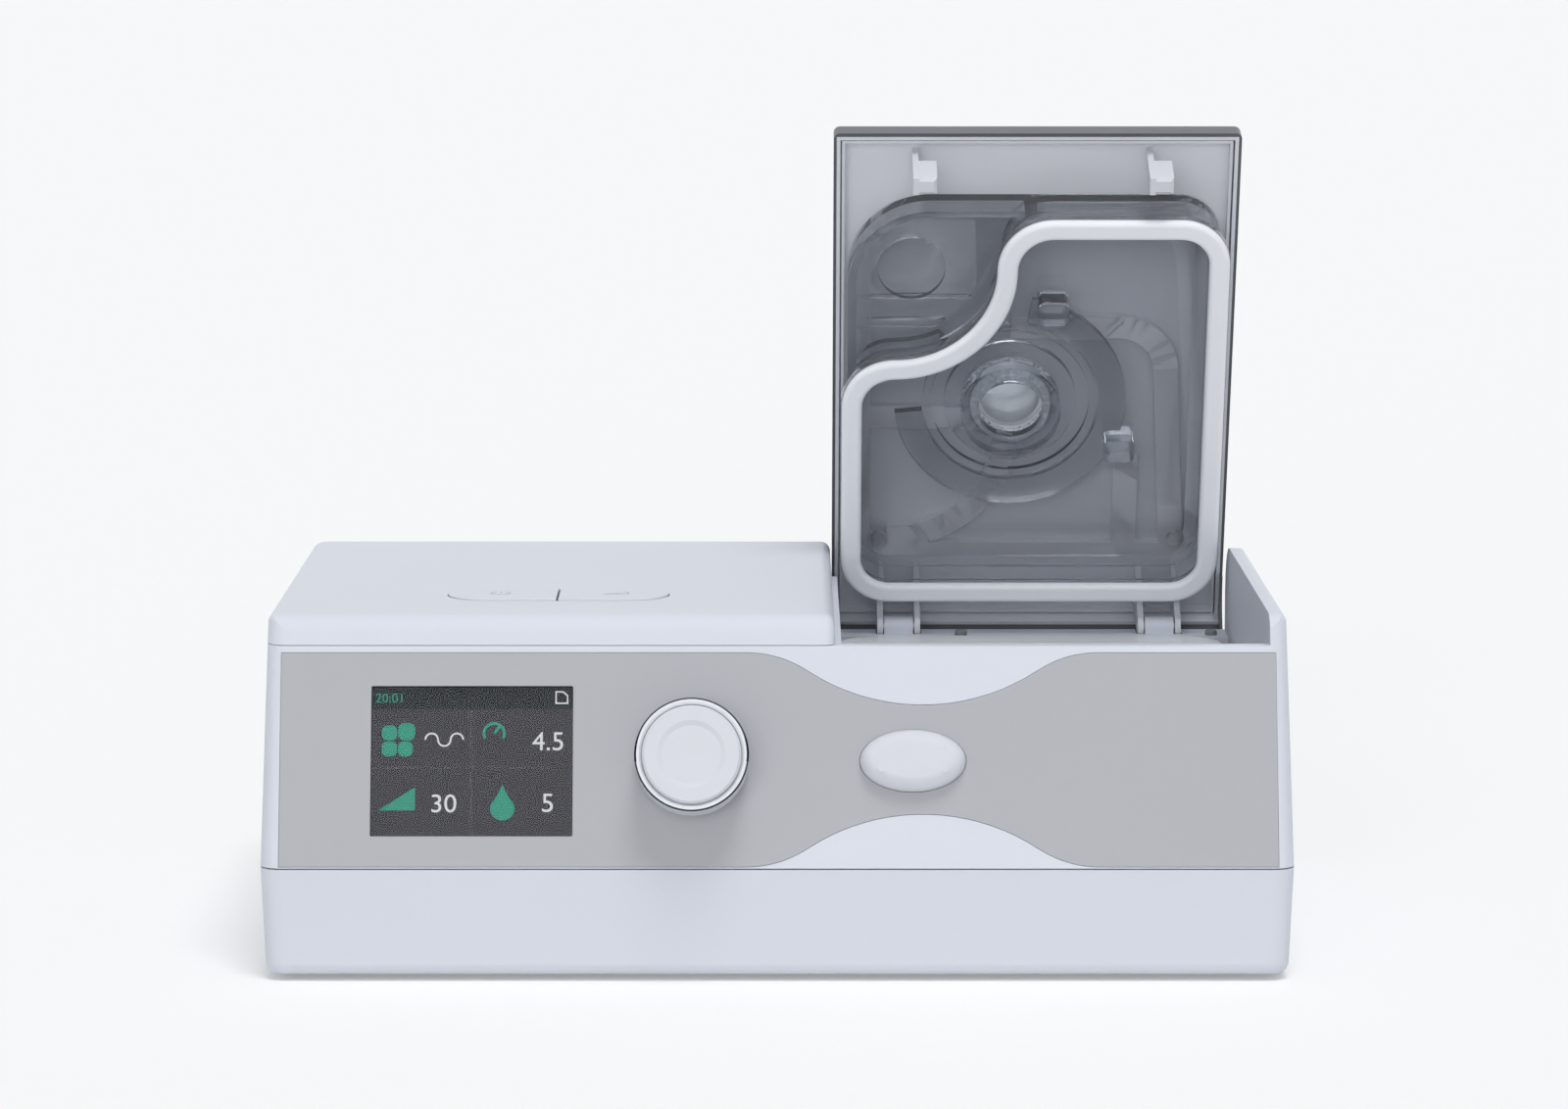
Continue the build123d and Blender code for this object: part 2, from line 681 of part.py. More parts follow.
def chamber_outline(offset):
    """The stepped outline of the chamber, offset outwards from the middle line of its seal."""
    left = SEAL_LEFT - offset
    right = SEAL_RIGHT + offset
    near = SEAL_NEAR - offset
    far = SEAL_FAR + offset
    corner = SEAL_R + offset
    arc_x = SEAL_LEFT + STEP_NEAR_R
    arc_s = STEP_S + STEP_R
    arc_r = STEP_R - offset
    near_r = STEP_NEAR_R + offset
    far_r = STEP_FAR_R + offset
    step_x = arc_x + STEP_R  # the seal runs straight up this line for a moment
    far_x = step_x + STEP_FAR_R
    far_s = SEAL_FAR - STEP_FAR_R
    near_s = STEP_S - STEP_NEAR_R
    path = [
        Line((left, near + corner), (left, near_s)),
        CenterArc((arc_x, near_s), near_r, 180, -90),
        CenterArc((arc_x, arc_s), arc_r, -90, 90),
        Line((step_x - offset, arc_s), (step_x - offset, far_s)),
        CenterArc((far_x, far_s), far_r, 180, -90),
        Line((far_x, far), (right - corner, far)),
        CenterArc((right - corner, far - corner), corner, 90, -90),
        Line((right, far - corner), (right, near + corner)),
        CenterArc((right - corner, near + corner), corner, 0, -90),
        Line((right - corner, near), (left + corner, near)),
        CenterArc((left + corner, near + corner), corner, -90, -90),
    ]
    return make_face(path)


def full_outline(offset):
    """The same outline without its step, with a large round at the corner over the air port."""
    width = SEAL_RIGHT - SEAL_LEFT + 2 * offset
    length = SEAL_FAR - SEAL_NEAR + 2 * offset
    face = Rectangle(width, length)
    corner = face.vertices().sort_by(Axis.X)[:2].sort_by(Axis.Y)[-1]
    face = fillet(corner, COVER_CORNER_R + offset)
    others = [
        v
        for v in face.vertices()
        if abs(abs(v.X) - width / 2) < 0.01 and abs(abs(v.Y) - length / 2) < 0.01
    ]
    face = fillet(others, SEAL_R + offset)
    return Pos((SEAL_LEFT + SEAL_RIGHT) / 2, (SEAL_NEAR + SEAL_FAR) / 2) * face


def sunk(outline, start, end):
    """An outline of the lid's plan, extruded between two depths below the outer skin."""
    return extrude(LID * Pos(0, 0, start) * outline, end - start)


def sunk_post(x, s, start, end, radius):
    return LID * Pos(x, s, (start + end) / 2) * Cylinder(radius, end - start)


def outlet_post(start, end, radius):
    """A post on the axis of the air outlet."""
    return sunk_post(OUTLET_X, OUTLET_S, start, end, radius)


def outlet_cut(radius):
    return outlet_post(0, 3 * REACH, radius)


def sunk_box(x, s, depth):
    return LID * span_box(x, s, depth)


# ---------------------------------------------------------------- middle housing


def depth_of(z):
    return CASE_TOP - z


def yz_prism(face, x_low, x_high):
    """A face drawn in y and z, extruded from x_low to x_high."""
    return Pos(x_low, 0, 0) * extrude(Plane.YZ * face, x_high - x_low)


def hinge_disc(radius, x_low, x_high):
    return Pos((x_low + x_high) / 2, HINGE_Y, HINGE_Z) * Rot(0, 90, 0) * Cylinder(
        radius, x_high - x_low
    )


def ear_places():
    """The middle of each of the lid's four hinge ears, in x."""
    return [
        LID_X + side * EAR_X + end * EAR_SPREAD / 2
        for side in (-1, 1)
        for end in (-1, 1)
    ]


def bay_right(z):
    return case_width(z) / 2 - WALL


def make_hinge_deck():
    x_low = COVER_END_X - ROOT
    x_high = bay_right(DECK_Z) + ROOT
    deck = span_box((x_low, x_high), (DECK_FRONT, HINGE_Y), (DECK_Z - DECK_PLATE, DECK_Z))
    barrel = hinge_disc(BARREL_R, x_low, x_high)
    barrel &= span_box((x_low, x_high), (-HUGE, HUGE), (0, DECK_Z))
    web_y = HINGE_Y - HINGE_WEB
    web_z = (LEDGE_Z - WALL, HINGE_Z - HINGE_WEB_DROP)
    web = span_box((x_low, x_high), (web_y, web_y + WALL), web_z)
    ledge = span_box((x_low, x_high), (web_y, BACK_Y - LEDGE_BACK), (LEDGE_Z - WALL, LEDGE_Z))
    deck = deck + barrel + web + ledge
    for side in (-1, 1):
        middle = LID_X + side * EAR_X
        half = EAR_SPREAD / 2 - EAR_THICK / 2 - CLEAR
        knuckle = hinge_disc(KNUCKLE_R, middle - half, middle + half)
        knuckle += span_box(
            (middle - half, middle + half),
            (HINGE_Y - KNUCKLE_R, HINGE_Y + KNUCKLE_R),
            (DECK_Z - 2 * ROOT, HINGE_Z),
        )
        deck += knuckle
    for x in ear_places():
        slot = (x - EAR_THICK / 2 - CLEAR, x + EAR_THICK / 2 + CLEAR)
        deck -= hinge_disc(EAR_R + CLEAR, *slot)
        deck -= span_box(slot, (HINGE_Y, BACK_Y), (HINGE_Z - EAR_R - 3 * CLEAR, HINGE_Z))
    for side in (-1, 1):
        middle = LID_X + side * EAR_X
        deck -= hinge_disc(PIN_R, middle - EAR_SPREAD, middle + EAR_SPREAD)
    return deck


def island_plan(margin):
    """Plan of the raised corner that brings the air up to the chamber cover."""
    left = COVER_END_X - LID_X + (margin if margin else -ROOT)
    far = CASE_DEPTH - BAY_WALL_BACK - (margin if margin else -ROOT)
    right = SEAL_LEFT + STEP_NEAR_R + STEP_R - ISLAND_GAP - margin
    near = STEP_S + ISLAND_GAP + margin
    block = Pos((left + right) / 2, (near + far) / 2) * Rectangle(right - left, far - near)
    return block - chamber_outline(ISLAND_GAP + margin)


def make_island():
    island = sunk(island_plan(0), depth_of(ISLAND_TOP), depth_of(ISLAND_LOW))
    hollow = sunk(
        island_plan(BAY_WALL), depth_of(ISLAND_TOP) + BAY_WALL, depth_of(ISLAND_LOW) - BAY_WALL
    )
    top = depth_of(ISLAND_TOP)
    port = sunk_post(PORT_X, PORT_S, top - PAST, top + BAY_WALL + PAST, PORT_R)
    duct = Pos(COVER_END_X, back(DUCT_Y), DUCT_Z) * Rot(0, 90, 0) * Cylinder(DUCT_R, 2 * REACH)
    return island - hollow - port, duct


def make_mid_housing():
    low = MID_SEAM + SEAM_GAP / 2
    room = INNER & span_box((-HUGE, LID_SIDE_X), (-HUGE, HUGE), (0, HUGE))
    housing = (OUTER & level(low, TOP_SEAM)) - room
    right_wall = (LID_SIDE_X, HUGE)
    housing += OUTER & span_box(right_wall, (-HUGE, HUGE), (TOP_SEAM - ROOT, CASE_TOP + PAST))
    housing += tongue(MID_SEAM) & level(0, MID_SEAM + TONGUE_REACH)
    # the bay is open at the back above the ledge, and its right wall ends in a large round
    bay_x = (COVER_END_X, LID_SIDE_X)
    housing -= span_box(bay_x, (HINGE_Y, HUGE), (LEDGE_Z, HUGE))
    wall_end = BACK_Y - WALL_BACK
    end_cut = span_box((LID_SIDE_X - PAST, HUGE), (wall_end, HUGE), (LEDGE_Z, HUGE))
    round_y = wall_end - WALL_BACK_R
    round_z = CASE_TOP - WALL_BACK_R
    end_cut += span_box((LID_SIDE_X - PAST, HUGE), (round_y, HUGE), (round_z, HUGE))
    end_cut -= (
        Pos(LID_SIDE_X + REACH, round_y, round_z) * Rot(0, 90, 0) * Cylinder(WALL_BACK_R, 3 * REACH)
    )
    housing -= end_cut
    # bay walls
    inside = INNER & level(low, TOP_SEAM)
    bay_wall = (COVER_END_X - BAY_WALL, COVER_END_X)
    housing += span_box(bay_wall, (-HUGE, HUGE), (0, HUGE)) & inside
    rib = (COVER_END_X - ROOT, COVER_END_X + PARTITION_RIB)
    housing += span_box(rib, (-HUGE, DECK_FRONT - PARTITION_RIB_END), (0, HUGE)) & inside
    front_wall = (back(BAY_WALL_BACK - BAY_WALL), back(BAY_WALL_BACK))
    right = (COVER_END_X - ROOT, HUGE)
    housing += span_box(right, front_wall, (0, DECK_Z - FRONT_WALL_DROP)) & inside
    deck = (TOP_SEAM - DECK_THICK, TOP_SEAM)
    housing += span_box(right, (-HUGE, back(FRONT_DECK)), deck) & inside
    housing += make_hinge_deck()
    island, duct = make_island()
    housing += island
    housing -= duct
    for x, y in corner_places():
        housing += post(x, y, BOSS_TOP, SCREW_LENGTH + BOSS_END, BOSS_R)
        side = math.copysign(1, x)
        web_x = sorted((x, side * (CASE_WIDTH / 2 - WALL)))
        web_y = (y - BOSS_WEB / 2, y + BOSS_WEB / 2)
        housing += span_box(web_x, web_y, (low + BOSS_WEB_LOW, SCREW_LENGTH + BOSS_END))
        housing -= post(x, y, BOSS_TOP - PAST, SCREW_LENGTH, SCREW_R)
    # front openings and the recess of the fascia
    housing -= fascia_solid(FASCIA_THICK - FASCIA_PROUD, FASCIA_FIT)
    lens = RectangleRounded(
        SCREEN_WIDTH + 2 * LENS_BORDER + TOUCH_GAP,
        SCREEN_HEIGHT + 2 * LENS_BORDER + TOUCH_GAP,
        LENS_R,
    )
    housing -= face_cut(SCREEN_X, lens)
    housing -= face_cut(KNOB_X, Circle(SHAFT_R + CLEAR))
    housing -= face_cut(LATCH_X, latch_oval(LATCH_GAP))
    for x, up in display_board_posts():
        stand = extrude(Circle(BOARD_POST_R), BOARD_BACK_OFF - WALL + ROOT)
        housing += on_face(x, up, -BOARD_BACK_OFF, stand)
    # card slot in the left side, air intake in the back
    slot_y = card_span(CARD_GAP)
    slot_z = (CARD_Z - CARD_THICK / 2 - CARD_GAP, CARD_Z + CARD_THICK / 2 + CARD_GAP)
    housing -= span_box((-CASE_WIDTH, LEFT_SIDE + 2 * WALL), slot_y, slot_z)
    shelf_x = (LEFT_SIDE + WALL - ROOT, LEFT_SIDE + CARD_SHELF)
    shelf_top = CARD_Z - CARD_SOCKET_LOW
    shelf_y = card_span(CARD_GAP + CARD_SHELF_BORDER)
    housing += span_box(shelf_x, shelf_y, (shelf_top - CARD_SHELF_THICK, shelf_top))
    return housing - filter_recess()


def card_span(border):
    """The card's front and back edge, with a border round it."""
    half = CARD_WIDTH / 2 + border
    return back(CARD_BACK) - half, back(CARD_BACK) + half


def filter_recess():
    door = Pos(FILTER_X, BACK_Y - DOOR_THICK / 2, FILTER_Z) * Box(
        FILTER_WIDTH + 2 * DOOR_BORDER + 2 * CLEAR,
        DOOR_THICK,
        FILTER_HEIGHT + 2 * DOOR_BORDER + 2 * CLEAR,
    )
    opening = Pos(FILTER_X, BACK_Y - REACH, FILTER_Z) * Box(
        FILTER_WIDTH + CLEAR, 3 * REACH, FILTER_HEIGHT + CLEAR
    )
    return door + opening


# ---------------------------------------------------------------- front panel


def waist_edges(up, sign):
    """The S-shaped edges of one waist, from its straight edge to its middle and out again."""
    turn = 2 * math.atan(WAIST_DEPTH / WAIST_HALF)
    radii = WAIST_HALF / math.sin(turn)
    bow_r = radii - WAIST_SHOULDER_R
    angle = math.degrees(turn)
    middle = up - sign * WAIST_DEPTH
    shoulder_y = up - sign * WAIST_SHOULDER_R
    left = WAIST_X - WAIST_HALF
    right = WAIST_X + WAIST_HALF
    return [
        CenterArc((left, shoulder_y), WAIST_SHOULDER_R, sign * 90, -sign * angle),
        CenterArc((WAIST_X, middle + sign * bow_r), bow_r, sign * (-90 - angle), sign * 2 * angle),
        CenterArc((right, shoulder_y), WAIST_SHOULDER_R, sign * (90 + angle), -sign * angle),
    ]


def fascia_outline(grow):
    low = FASCIA_LOW - grow
    high = FASCIA_HIGH + grow
    half = FASCIA_WIDTH / 2 + grow
    left = FASCIA_X - half
    right = FASCIA_X + half
    top = waist_edges(high, 1)
    bottom = waist_edges(low, -1)
    path = [
        Line((left, low), (left, high)),
        Line((left, high), top[0] @ 0),
        *top,
        Line(top[2] @ 1, (right, high)),
        Line((right, high), (right, low)),
        Line((right, low), bottom[2] @ 1),
        *bottom,
        Line(bottom[0] @ 0, (left, low)),
    ]
    return make_face(path)


def fascia_solid(depth, grow):
    return extrude(FACE * Pos(0, 0, -depth) * fascia_outline(grow), depth + REACH / 2)


def make_fascia():
    panel = extrude(FACE * Pos(0, 0, FASCIA_PROUD - FASCIA_THICK) * fascia_outline(0), FASCIA_THICK)
    panel -= face_cut(SCREEN_X, RectangleRounded(SCREEN_WIDTH, SCREEN_HEIGHT, WINDOW_R))
    panel -= face_cut(KNOB_X, Circle(SHAFT_R + CLEAR))
    return panel - face_cut(LATCH_X, latch_oval(LATCH_GAP))


LENS_FRONT = FASCIA_PROUD - FASCIA_THICK


def make_display_lens():
    plate = RectangleRounded(
        SCREEN_WIDTH + 2 * LENS_BORDER, SCREEN_HEIGHT + 2 * LENS_BORDER, LENS_R
    )
    return on_face(SCREEN_X, CONTROL_ROW, LENS_FRONT - LENS_THICK, extrude(plate, LENS_THICK))


def make_lcd_module():
    plate = Rectangle(SCREEN_WIDTH + 2 * LCD_BORDER, SCREEN_HEIGHT + 2 * LCD_BORDER)
    height = BOARD_BACK_OFF + LENS_FRONT - LENS_THICK - LCD_GAP
    return on_face(SCREEN_X, CONTROL_ROW, -BOARD_BACK_OFF, extrude(plate, height))


SCREEN_END = SCREEN_X - SCREEN_WIDTH / 2 - LENS_BORDER  # left end of the window plate
DISPLAY_BOARD_X = (
    SCREEN_END - 2 * BOARD_POST_R - 2 * CLEAR,
    KNOB_X + DISPLAY_BOARD_PAST_KNOB,
)


def display_board_posts():
    left = SCREEN_END - BOARD_POST_R - CLEAR
    right = DISPLAY_BOARD_X[1] - DISPLAY_POST_INSET
    return [(left, up) for up in DISPLAY_POSTS_LEFT] + [(right, up) for up in DISPLAY_POSTS_RIGHT]


def make_display_board():
    width = DISPLAY_BOARD_X[1] - DISPLAY_BOARD_X[0]
    board_back = -BOARD_BACK_OFF - BOARD_THICK
    board = extrude(Rectangle(width, DISPLAY_BOARD_HEIGHT), BOARD_THICK)
    board = on_face(sum(DISPLAY_BOARD_X) / 2, CONTROL_ROW, board_back, board)
    for place, size in (
        ((0.0, 0.0), (PROCESSOR_SIZE, PROCESSOR_SIZE)),
        (MEMORY_PLACE, MEMORY_SIZE),
        (DRIVER_PLACE, DRIVER_SIZE),
    ):
        chip = extrude(Rectangle(*size), CHIP_HIGH)
        board += on_face(SCREEN_X + place[0], CONTROL_ROW + place[1], board_back - CHIP_HIGH, chip)
    return board


# ---------------------------------------------------------------- knob

ENCODER_FRONT = -WALL - ENCODER_GAP
PLUNGER_LOW = ENCODER_FRONT - ENCODER_PLUNGER_SUNK


def make_encoder():
    body = on_face(
        KNOB_X,
        CONTROL_ROW,
        -BOARD_BACK_OFF,
        extrude(Rectangle(ENCODER_WIDTH, ENCODER_HEIGHT), ENCODER_FRONT + BOARD_BACK_OFF),
    )
    bore = on_face(
        KNOB_X,
        CONTROL_ROW,
        ENCODER_FRONT - ENCODER_BORE,
        extrude(Circle(SHAFT_R + ENCODER_PLUNGER_LIP + CLEAR), ENCODER_BORE + PAST),
    )
    return body - bore


def make_encoder_plunger():
    plunger = extrude(Circle(SHAFT_R + ENCODER_PLUNGER_LIP), ENCODER_PLUNGER)
    return on_face(KNOB_X, CONTROL_ROW, PLUNGER_LOW, plunger)


def make_encoder_shaft():
    low = PLUNGER_LOW + ENCODER_PLUNGER
    return on_face(KNOB_X, CONTROL_ROW, low, extrude(Circle(SHAFT_R), KNOB_SHAFT_END - low))


def knob_turned(profile):
    """A profile of radius and height out of the face, turned about the knob's axis."""
    return on_face(
        KNOB_X, CONTROL_ROW, 0, revolve(Plane.XZ * make_face(Polyline(*profile, close=True)), Axis.Z)
    )


def make_knob_ring():
    """The bright ring, bevelled at both of its outer edges."""
    low = KNOB_TURN_GAP + KNOB_BASE
    high = KNOB_PROUD - KNOB_RING_DROP
    profile = [
        (KNOB_RING_IN, low),
        (KNOB_R - KNOB_RING_BEVEL, low),
        (KNOB_R, low + KNOB_RING_BEVEL),
        (KNOB_R, high - KNOB_RING_BEVEL),
        (KNOB_R - KNOB_RING_BEVEL, high),
        (KNOB_RING_IN + KNOB_RING_BEVEL, high),
        (KNOB_RING_IN, high - KNOB_RING_BEVEL),
    ]
    return knob_turned(profile)


def make_knob_cap():
    """The pale cap: a base under the ring, and a front with a shallow finger dish."""
    low = KNOB_TURN_GAP
    ring_low = low + KNOB_BASE
    base_r = KNOB_R - KNOB_BASE_INSET
    front_r = KNOB_RING_IN - KNOB_GROOVE
    groove_low = KNOB_PROUD - KNOB_GROOVE_DEPTH
    profile = [
        (SHAFT_R, low),
        (base_r - KNOB_EDGE, low),
        (base_r, low + KNOB_EDGE),
        (base_r, ring_low),
        (KNOB_RING_IN, ring_low),
        (KNOB_RING_IN, groove_low),
        (front_r, groove_low),
        (front_r, KNOB_PROUD - KNOB_EDGE),
        (front_r - KNOB_EDGE, KNOB_PROUD),
        (KNOB_DISH_R + KNOB_EDGE, KNOB_PROUD),
        (KNOB_DISH_R - KNOB_EDGE, KNOB_PROUD - KNOB_DISH),
        (0, KNOB_PROUD - 1.8 * KNOB_DISH),
        (0, KNOB_SHAFT_END),
        (SHAFT_R, KNOB_SHAFT_END),
    ]
    return knob_turned(profile)


# ---------------------------------------------------------------- lid latch

RAIL_BACK_OFF = WALL + RAIL_GAP
ARM_BACK_OFF = WALL + LATCH_TRAVEL + ARM_GAP
NOSE_Z = CASE_TOP - LINER_FACE - HOOK_REACH + HOOK_HEAD_LENGTH + TOUCH_GAP


def latch_oval(grow):
    return Ellipse(LATCH_WIDTH / 2 + grow, LATCH_HEIGHT / 2 + grow)


def make_latch_button():
    low = -WALL - LATCH_FLANGE_GAP
    body = extrude(latch_oval(0), LATCH_PROUD - low)
    body = fillet(body.edges().group_by(Axis.Z)[-1], LATCH_EDGE_R)
    flange = extrude(latch_oval(LATCH_FLANGE), LATCH_FLANGE_THICK)
    stem_low = -ARM_BACK_OFF - LATCH_STEM / 2
    stem = Pos(0, 0, low) * extrude(Rectangle(LATCH_STEM, LATCH_STEM_HEIGHT), stem_low - low)
    button = Pos(0, 0, low) * body + Pos(0, 0, low - LATCH_FLANGE_THICK) * flange + stem
    # the end of the stem is a 45 degree wedge that pushes the bar aside
    wedge = Pos(LATCH_STEM / 2, 0, stem_low) * Rot(0, 45, 0) * Box(
        LATCH_STEM * math.sqrt(2), 2 * REACH, LATCH_STEM * math.sqrt(2)
    )
    outline = SlotCenterToCenter(LATCH_RIB_LENGTH, LATCH_RIB_WIDTH, rotation=90)
    rib = extrude(outline, THIN_ROOT + LATCH_RIB_PROUD)
    for index in range(LATCH_RIBS):
        x = (index - (LATCH_RIBS - 1) / 2) * LATCH_RIB_PITCH
        button += Pos(x, 0, LATCH_PROUD - THIN_ROOT) * rib
    return on_face(LATCH_X, CONTROL_ROW, 0, button - wedge)


def make_latch_bar():
    rail = (LATCH_X - LATCH_STEM / 2, LID_X + HOOK_RIGHT_X + HOOK_HEAD + RAIL_PAST_HOOK)
    rail_depth = (-RAIL_BACK_OFF - BAR_THICK, -RAIL_BACK_OFF)
    arm_depth = (-ARM_BACK_OFF - BAR_THICK, -ARM_BACK_OFF)
    arm_left = LATCH_X + LATCH_STEM / 2 + ARM_START
    arm = (arm_left, arm_left + ARM_WIDTH)
    step_up = CONTROL_ROW + LATCH_HEIGHT / 2 + ARM_STEP
    step_high = step_up + BAR_THICK
    bar = FACE * span_box(rail, (RAIL_UP - RAIL_HEIGHT, RAIL_UP), rail_depth)
    bar += FACE * span_box(arm, (step_up, RAIL_UP), rail_depth)
    bar += FACE * span_box(arm, (step_up, step_high), (arm_depth[0], rail_depth[1]))
    bar += FACE * span_box(arm, (CONTROL_ROW - ARM_LOW, step_high), arm_depth)
    follower = (LATCH_X - LATCH_STEM / 2, arm[1])
    follower_up = (CONTROL_ROW - FOLLOWER_HEIGHT / 2, CONTROL_ROW + FOLLOWER_HEIGHT / 2)
    follower_depth = (arm_depth[0] - FOLLOWER_DEPTH, arm_depth[1])
    block = FACE * span_box(follower, follower_up, follower_depth)
    cut = on_face(
        LATCH_X + LATCH_STEM / 2,
        CONTROL_ROW,
        -ARM_BACK_OFF - LATCH_STEM / 2,
        Rot(0, 45, 0) * Pos(-LATCH_STEM, 0, 0) * Box(2 * LATCH_STEM, 2 * REACH, 6 * REACH),
    )
    bar += block - cut
    for hook_x in (HOOK_LEFT_X, HOOK_RIGHT_X):
        nose = LID_X + hook_x + HOOK_HEAD + TOUCH_GAP + NOSE_SLACK
        nose_y = (front_at(NOSE_Z) + RAIL_BACK_OFF + NOSE_ROOT, BACK_Y - HOOK_S)
        bar += span_box((nose, nose + NOSE_WIDTH), nose_y, (NOSE_Z, NOSE_Z + NOSE_THICK))
    return bar


RAIL_DROP = RAIL_BACK_OFF * SLANT_SIN
RAIL_UP = (NOSE_Z + NOSE_THICK + RAIL_DROP - MID_SEAM) / SLANT_COS


# ---------------------------------------------------------------- top cover


def pill(grow):
    return RectangleRounded(PILL_WIDTH + 2 * grow, PILL_DEPTH + 2 * grow, PILL_R + grow)


def make_top_cover():
    low = TOP_SEAM + SEAM_GAP / 2
    block = OUTER & span_box((-HUGE, COVER_END_X), (-HUGE, HUGE), (low, CASE_TOP + PAST))
    ends = [
        e
        for e in block.edges().filter_by(Axis.Y)
        if e.center().X > COVER_END_X - 0.1 and e.center().Z > CASE_TOP - 1
    ]
    block = fillet(ends, COVER_END_R)
    hollow = INNER & span_box((-HUGE, COVER_END_X - WALL), (-HUGE, HUGE), (low - PAST, CASE_TOP))
    cover = block - hollow
    lip_x = (-HUGE, COVER_END_X - WALL)
    lip = (level(TOP_SEAM - TONGUE_REACH, low + 2 * ROOT) & INNER) - INNER_LIP
    lip &= span_box(lip_x, (-HUGE, HUGE), (0, HUGE))
    cover += lip
    return cover - Pos(PILL_X, back(PILL_Y), CASE_TOP - REACH / 2) * extrude(pill(CLEAR), REACH)


def make_top_button(side):
    """One half of the pill: a cap on a skirted key, with a plunger over its switch."""
    low = CASE_TOP - WALL
    cap = extrude(pill(0), WALL + PILL_PROUD)
    cap = fillet(cap.edges().group_by(Axis.Z)[-1], BUTTON_EDGE_R)
    flange = Pos(0, 0, -BUTTON_FLANGE) * extrude(pill(BUTTON_LEDGE), BUTTON_FLANGE)
    key = cap + flange
    inner = PILL_SPLIT / 2
    half = span_box((inner, HUGE), (-HUGE, HUGE), (-HUGE, HUGE))
    if side < 0:
        half = span_box((-HUGE, -inner), (-HUGE, HUGE), (-HUGE, HUGE))
    key &= half
    stem = Pos(side * PILL_WIDTH / 4, 0, -BUTTON_FLANGE) * Cylinder(PLUNGER_R, 2 * PLUNGER_LENGTH)
    return Pos(PILL_X, back(PILL_Y), low) * (key + stem)


PLUNGER_END = CASE_TOP - WALL - BUTTON_FLANGE - PLUNGER_LENGTH
SWITCH_BOARD_Z = PLUNGER_END - BUTTON_TRAVEL - TOUCH_GAP - SWITCH_HIGH


def make_switch_board():
    board = Pos(PILL_X, back(PILL_Y), SWITCH_BOARD_Z - BOARD_THICK / 2) * Box(
        PILL_WIDTH, SWITCH_BOARD_DEPTH, BOARD_THICK
    )
    for side in (-1, 1):
        place = Pos(PILL_X + side * PILL_WIDTH / 4, back(PILL_Y), SWITCH_BOARD_Z)
        board += place * Pos(0, 0, SWITCH_BODY / 2) * Box(SWITCH_SIZE, SWITCH_SIZE, SWITCH_BODY)
        key = Cylinder(SWITCH_KEY_R, SWITCH_KEY)
        board += place * Pos(0, 0, SWITCH_HIGH - SWITCH_KEY / 2) * key
    return board


def make_switch_bridge():
    """The bracket that hangs the switch board under the top cover."""
    half = PILL_WIDTH / 2 + BRIDGE_PAST
    x = (PILL_X - half, PILL_X + half)
    y = (back(PILL_Y) - BRIDGE_DEPTH / 2, back(PILL_Y) + BRIDGE_DEPTH / 2)
    top = SWITCH_BOARD_Z - BOARD_THICK
    low = top - BRIDGE_THICK
    bridge = span_box(x, y, (low, top))
    for end in x:
        leg = (end - BRIDGE_LEG / 2, end + BRIDGE_LEG / 2)
        bridge += span_box(leg, y, (low, CASE_TOP - WALL))
    return bridge


# ---------------------------------------------------------------- lid


def opened(shape):
    return LID_OPENING * shape


def lid_block(side, end, hinge_end, z_low, z_high):
    """The closed lid's form, closed in by an inset at its sides and at each of its ends."""
    slant = math.tan(math.radians(LID_END_SLANT))
    free_end = BACK_Y - LID_LENGTH + end
    corners = [
        (free_end - (CASE_TOP - z_low) * slant, z_low),
        (free_end - (CASE_TOP - z_high) * slant, z_high),
        (BACK_Y - hinge_end, z_high),
        (BACK_Y - hinge_end, z_low),
    ]
    return yz_prism(make_face(Polyline(*corners, close=True)), LID_LEFT + side, LID_RIGHT - side)


def make_lid_skin():
    low = CASE_TOP - LID_RIM
    skin = lid_block(0, 0, 0, low, CASE_TOP)
    front = skin.edges().sort_by(Axis.Y)[:4]
    skin = fillet([e for e in front if abs(e.center().X - LID_X) > 1], LID_CORNER_R)
    skin = fillet(skin.edges().group_by(Axis.Z)[-1].filter_by(Axis.X).sort_by(Axis.Y)[-1], TOP_BACK_R)
    skin = fillet(skin.edges().group_by(Axis.Z)[-1].filter_by(Axis.X).sort_by(Axis.Y)[0], LID_EDGE_R)
    skin -= lid_block(SKIN_SIDE, SKIN_END, SKIN_BACK, low - PAST, CASE_TOP - SKIN_TOP)
    side = (LID_LEFT, LID_RIGHT)
    skin += span_box(side, (BACK_Y - SKIN_BACK, BACK_Y), (SKIRT_LOW, low + 2 * ROOT))
    corner = (DECK_FRONT, BACK_Y - SKIN_BACK / 2)
    for x in (LID_LEFT, LID_RIGHT - SKIN_SIDE):
        gusset = span_box((x, x + SKIN_SIDE), corner, (SKIRT_LOW, low + ROOT))
        bite = Pos(x, DECK_FRONT, SKIRT_LOW) * Rot(0, 90, 0) * Cylinder(SKIRT_R, REACH)
        skin += gusset - bite
    skin -= outlet_post(-PAST, LID_RIM, HOSE_R + CLEAR)
    return skin


def liner_block(inset, z_low, z_high):
    """The space inside the skin, closed in by a further inset."""
    return lid_block(SKIN_SIDE + inset, SKIN_END + inset, SKIN_BACK + inset, z_low, z_high)


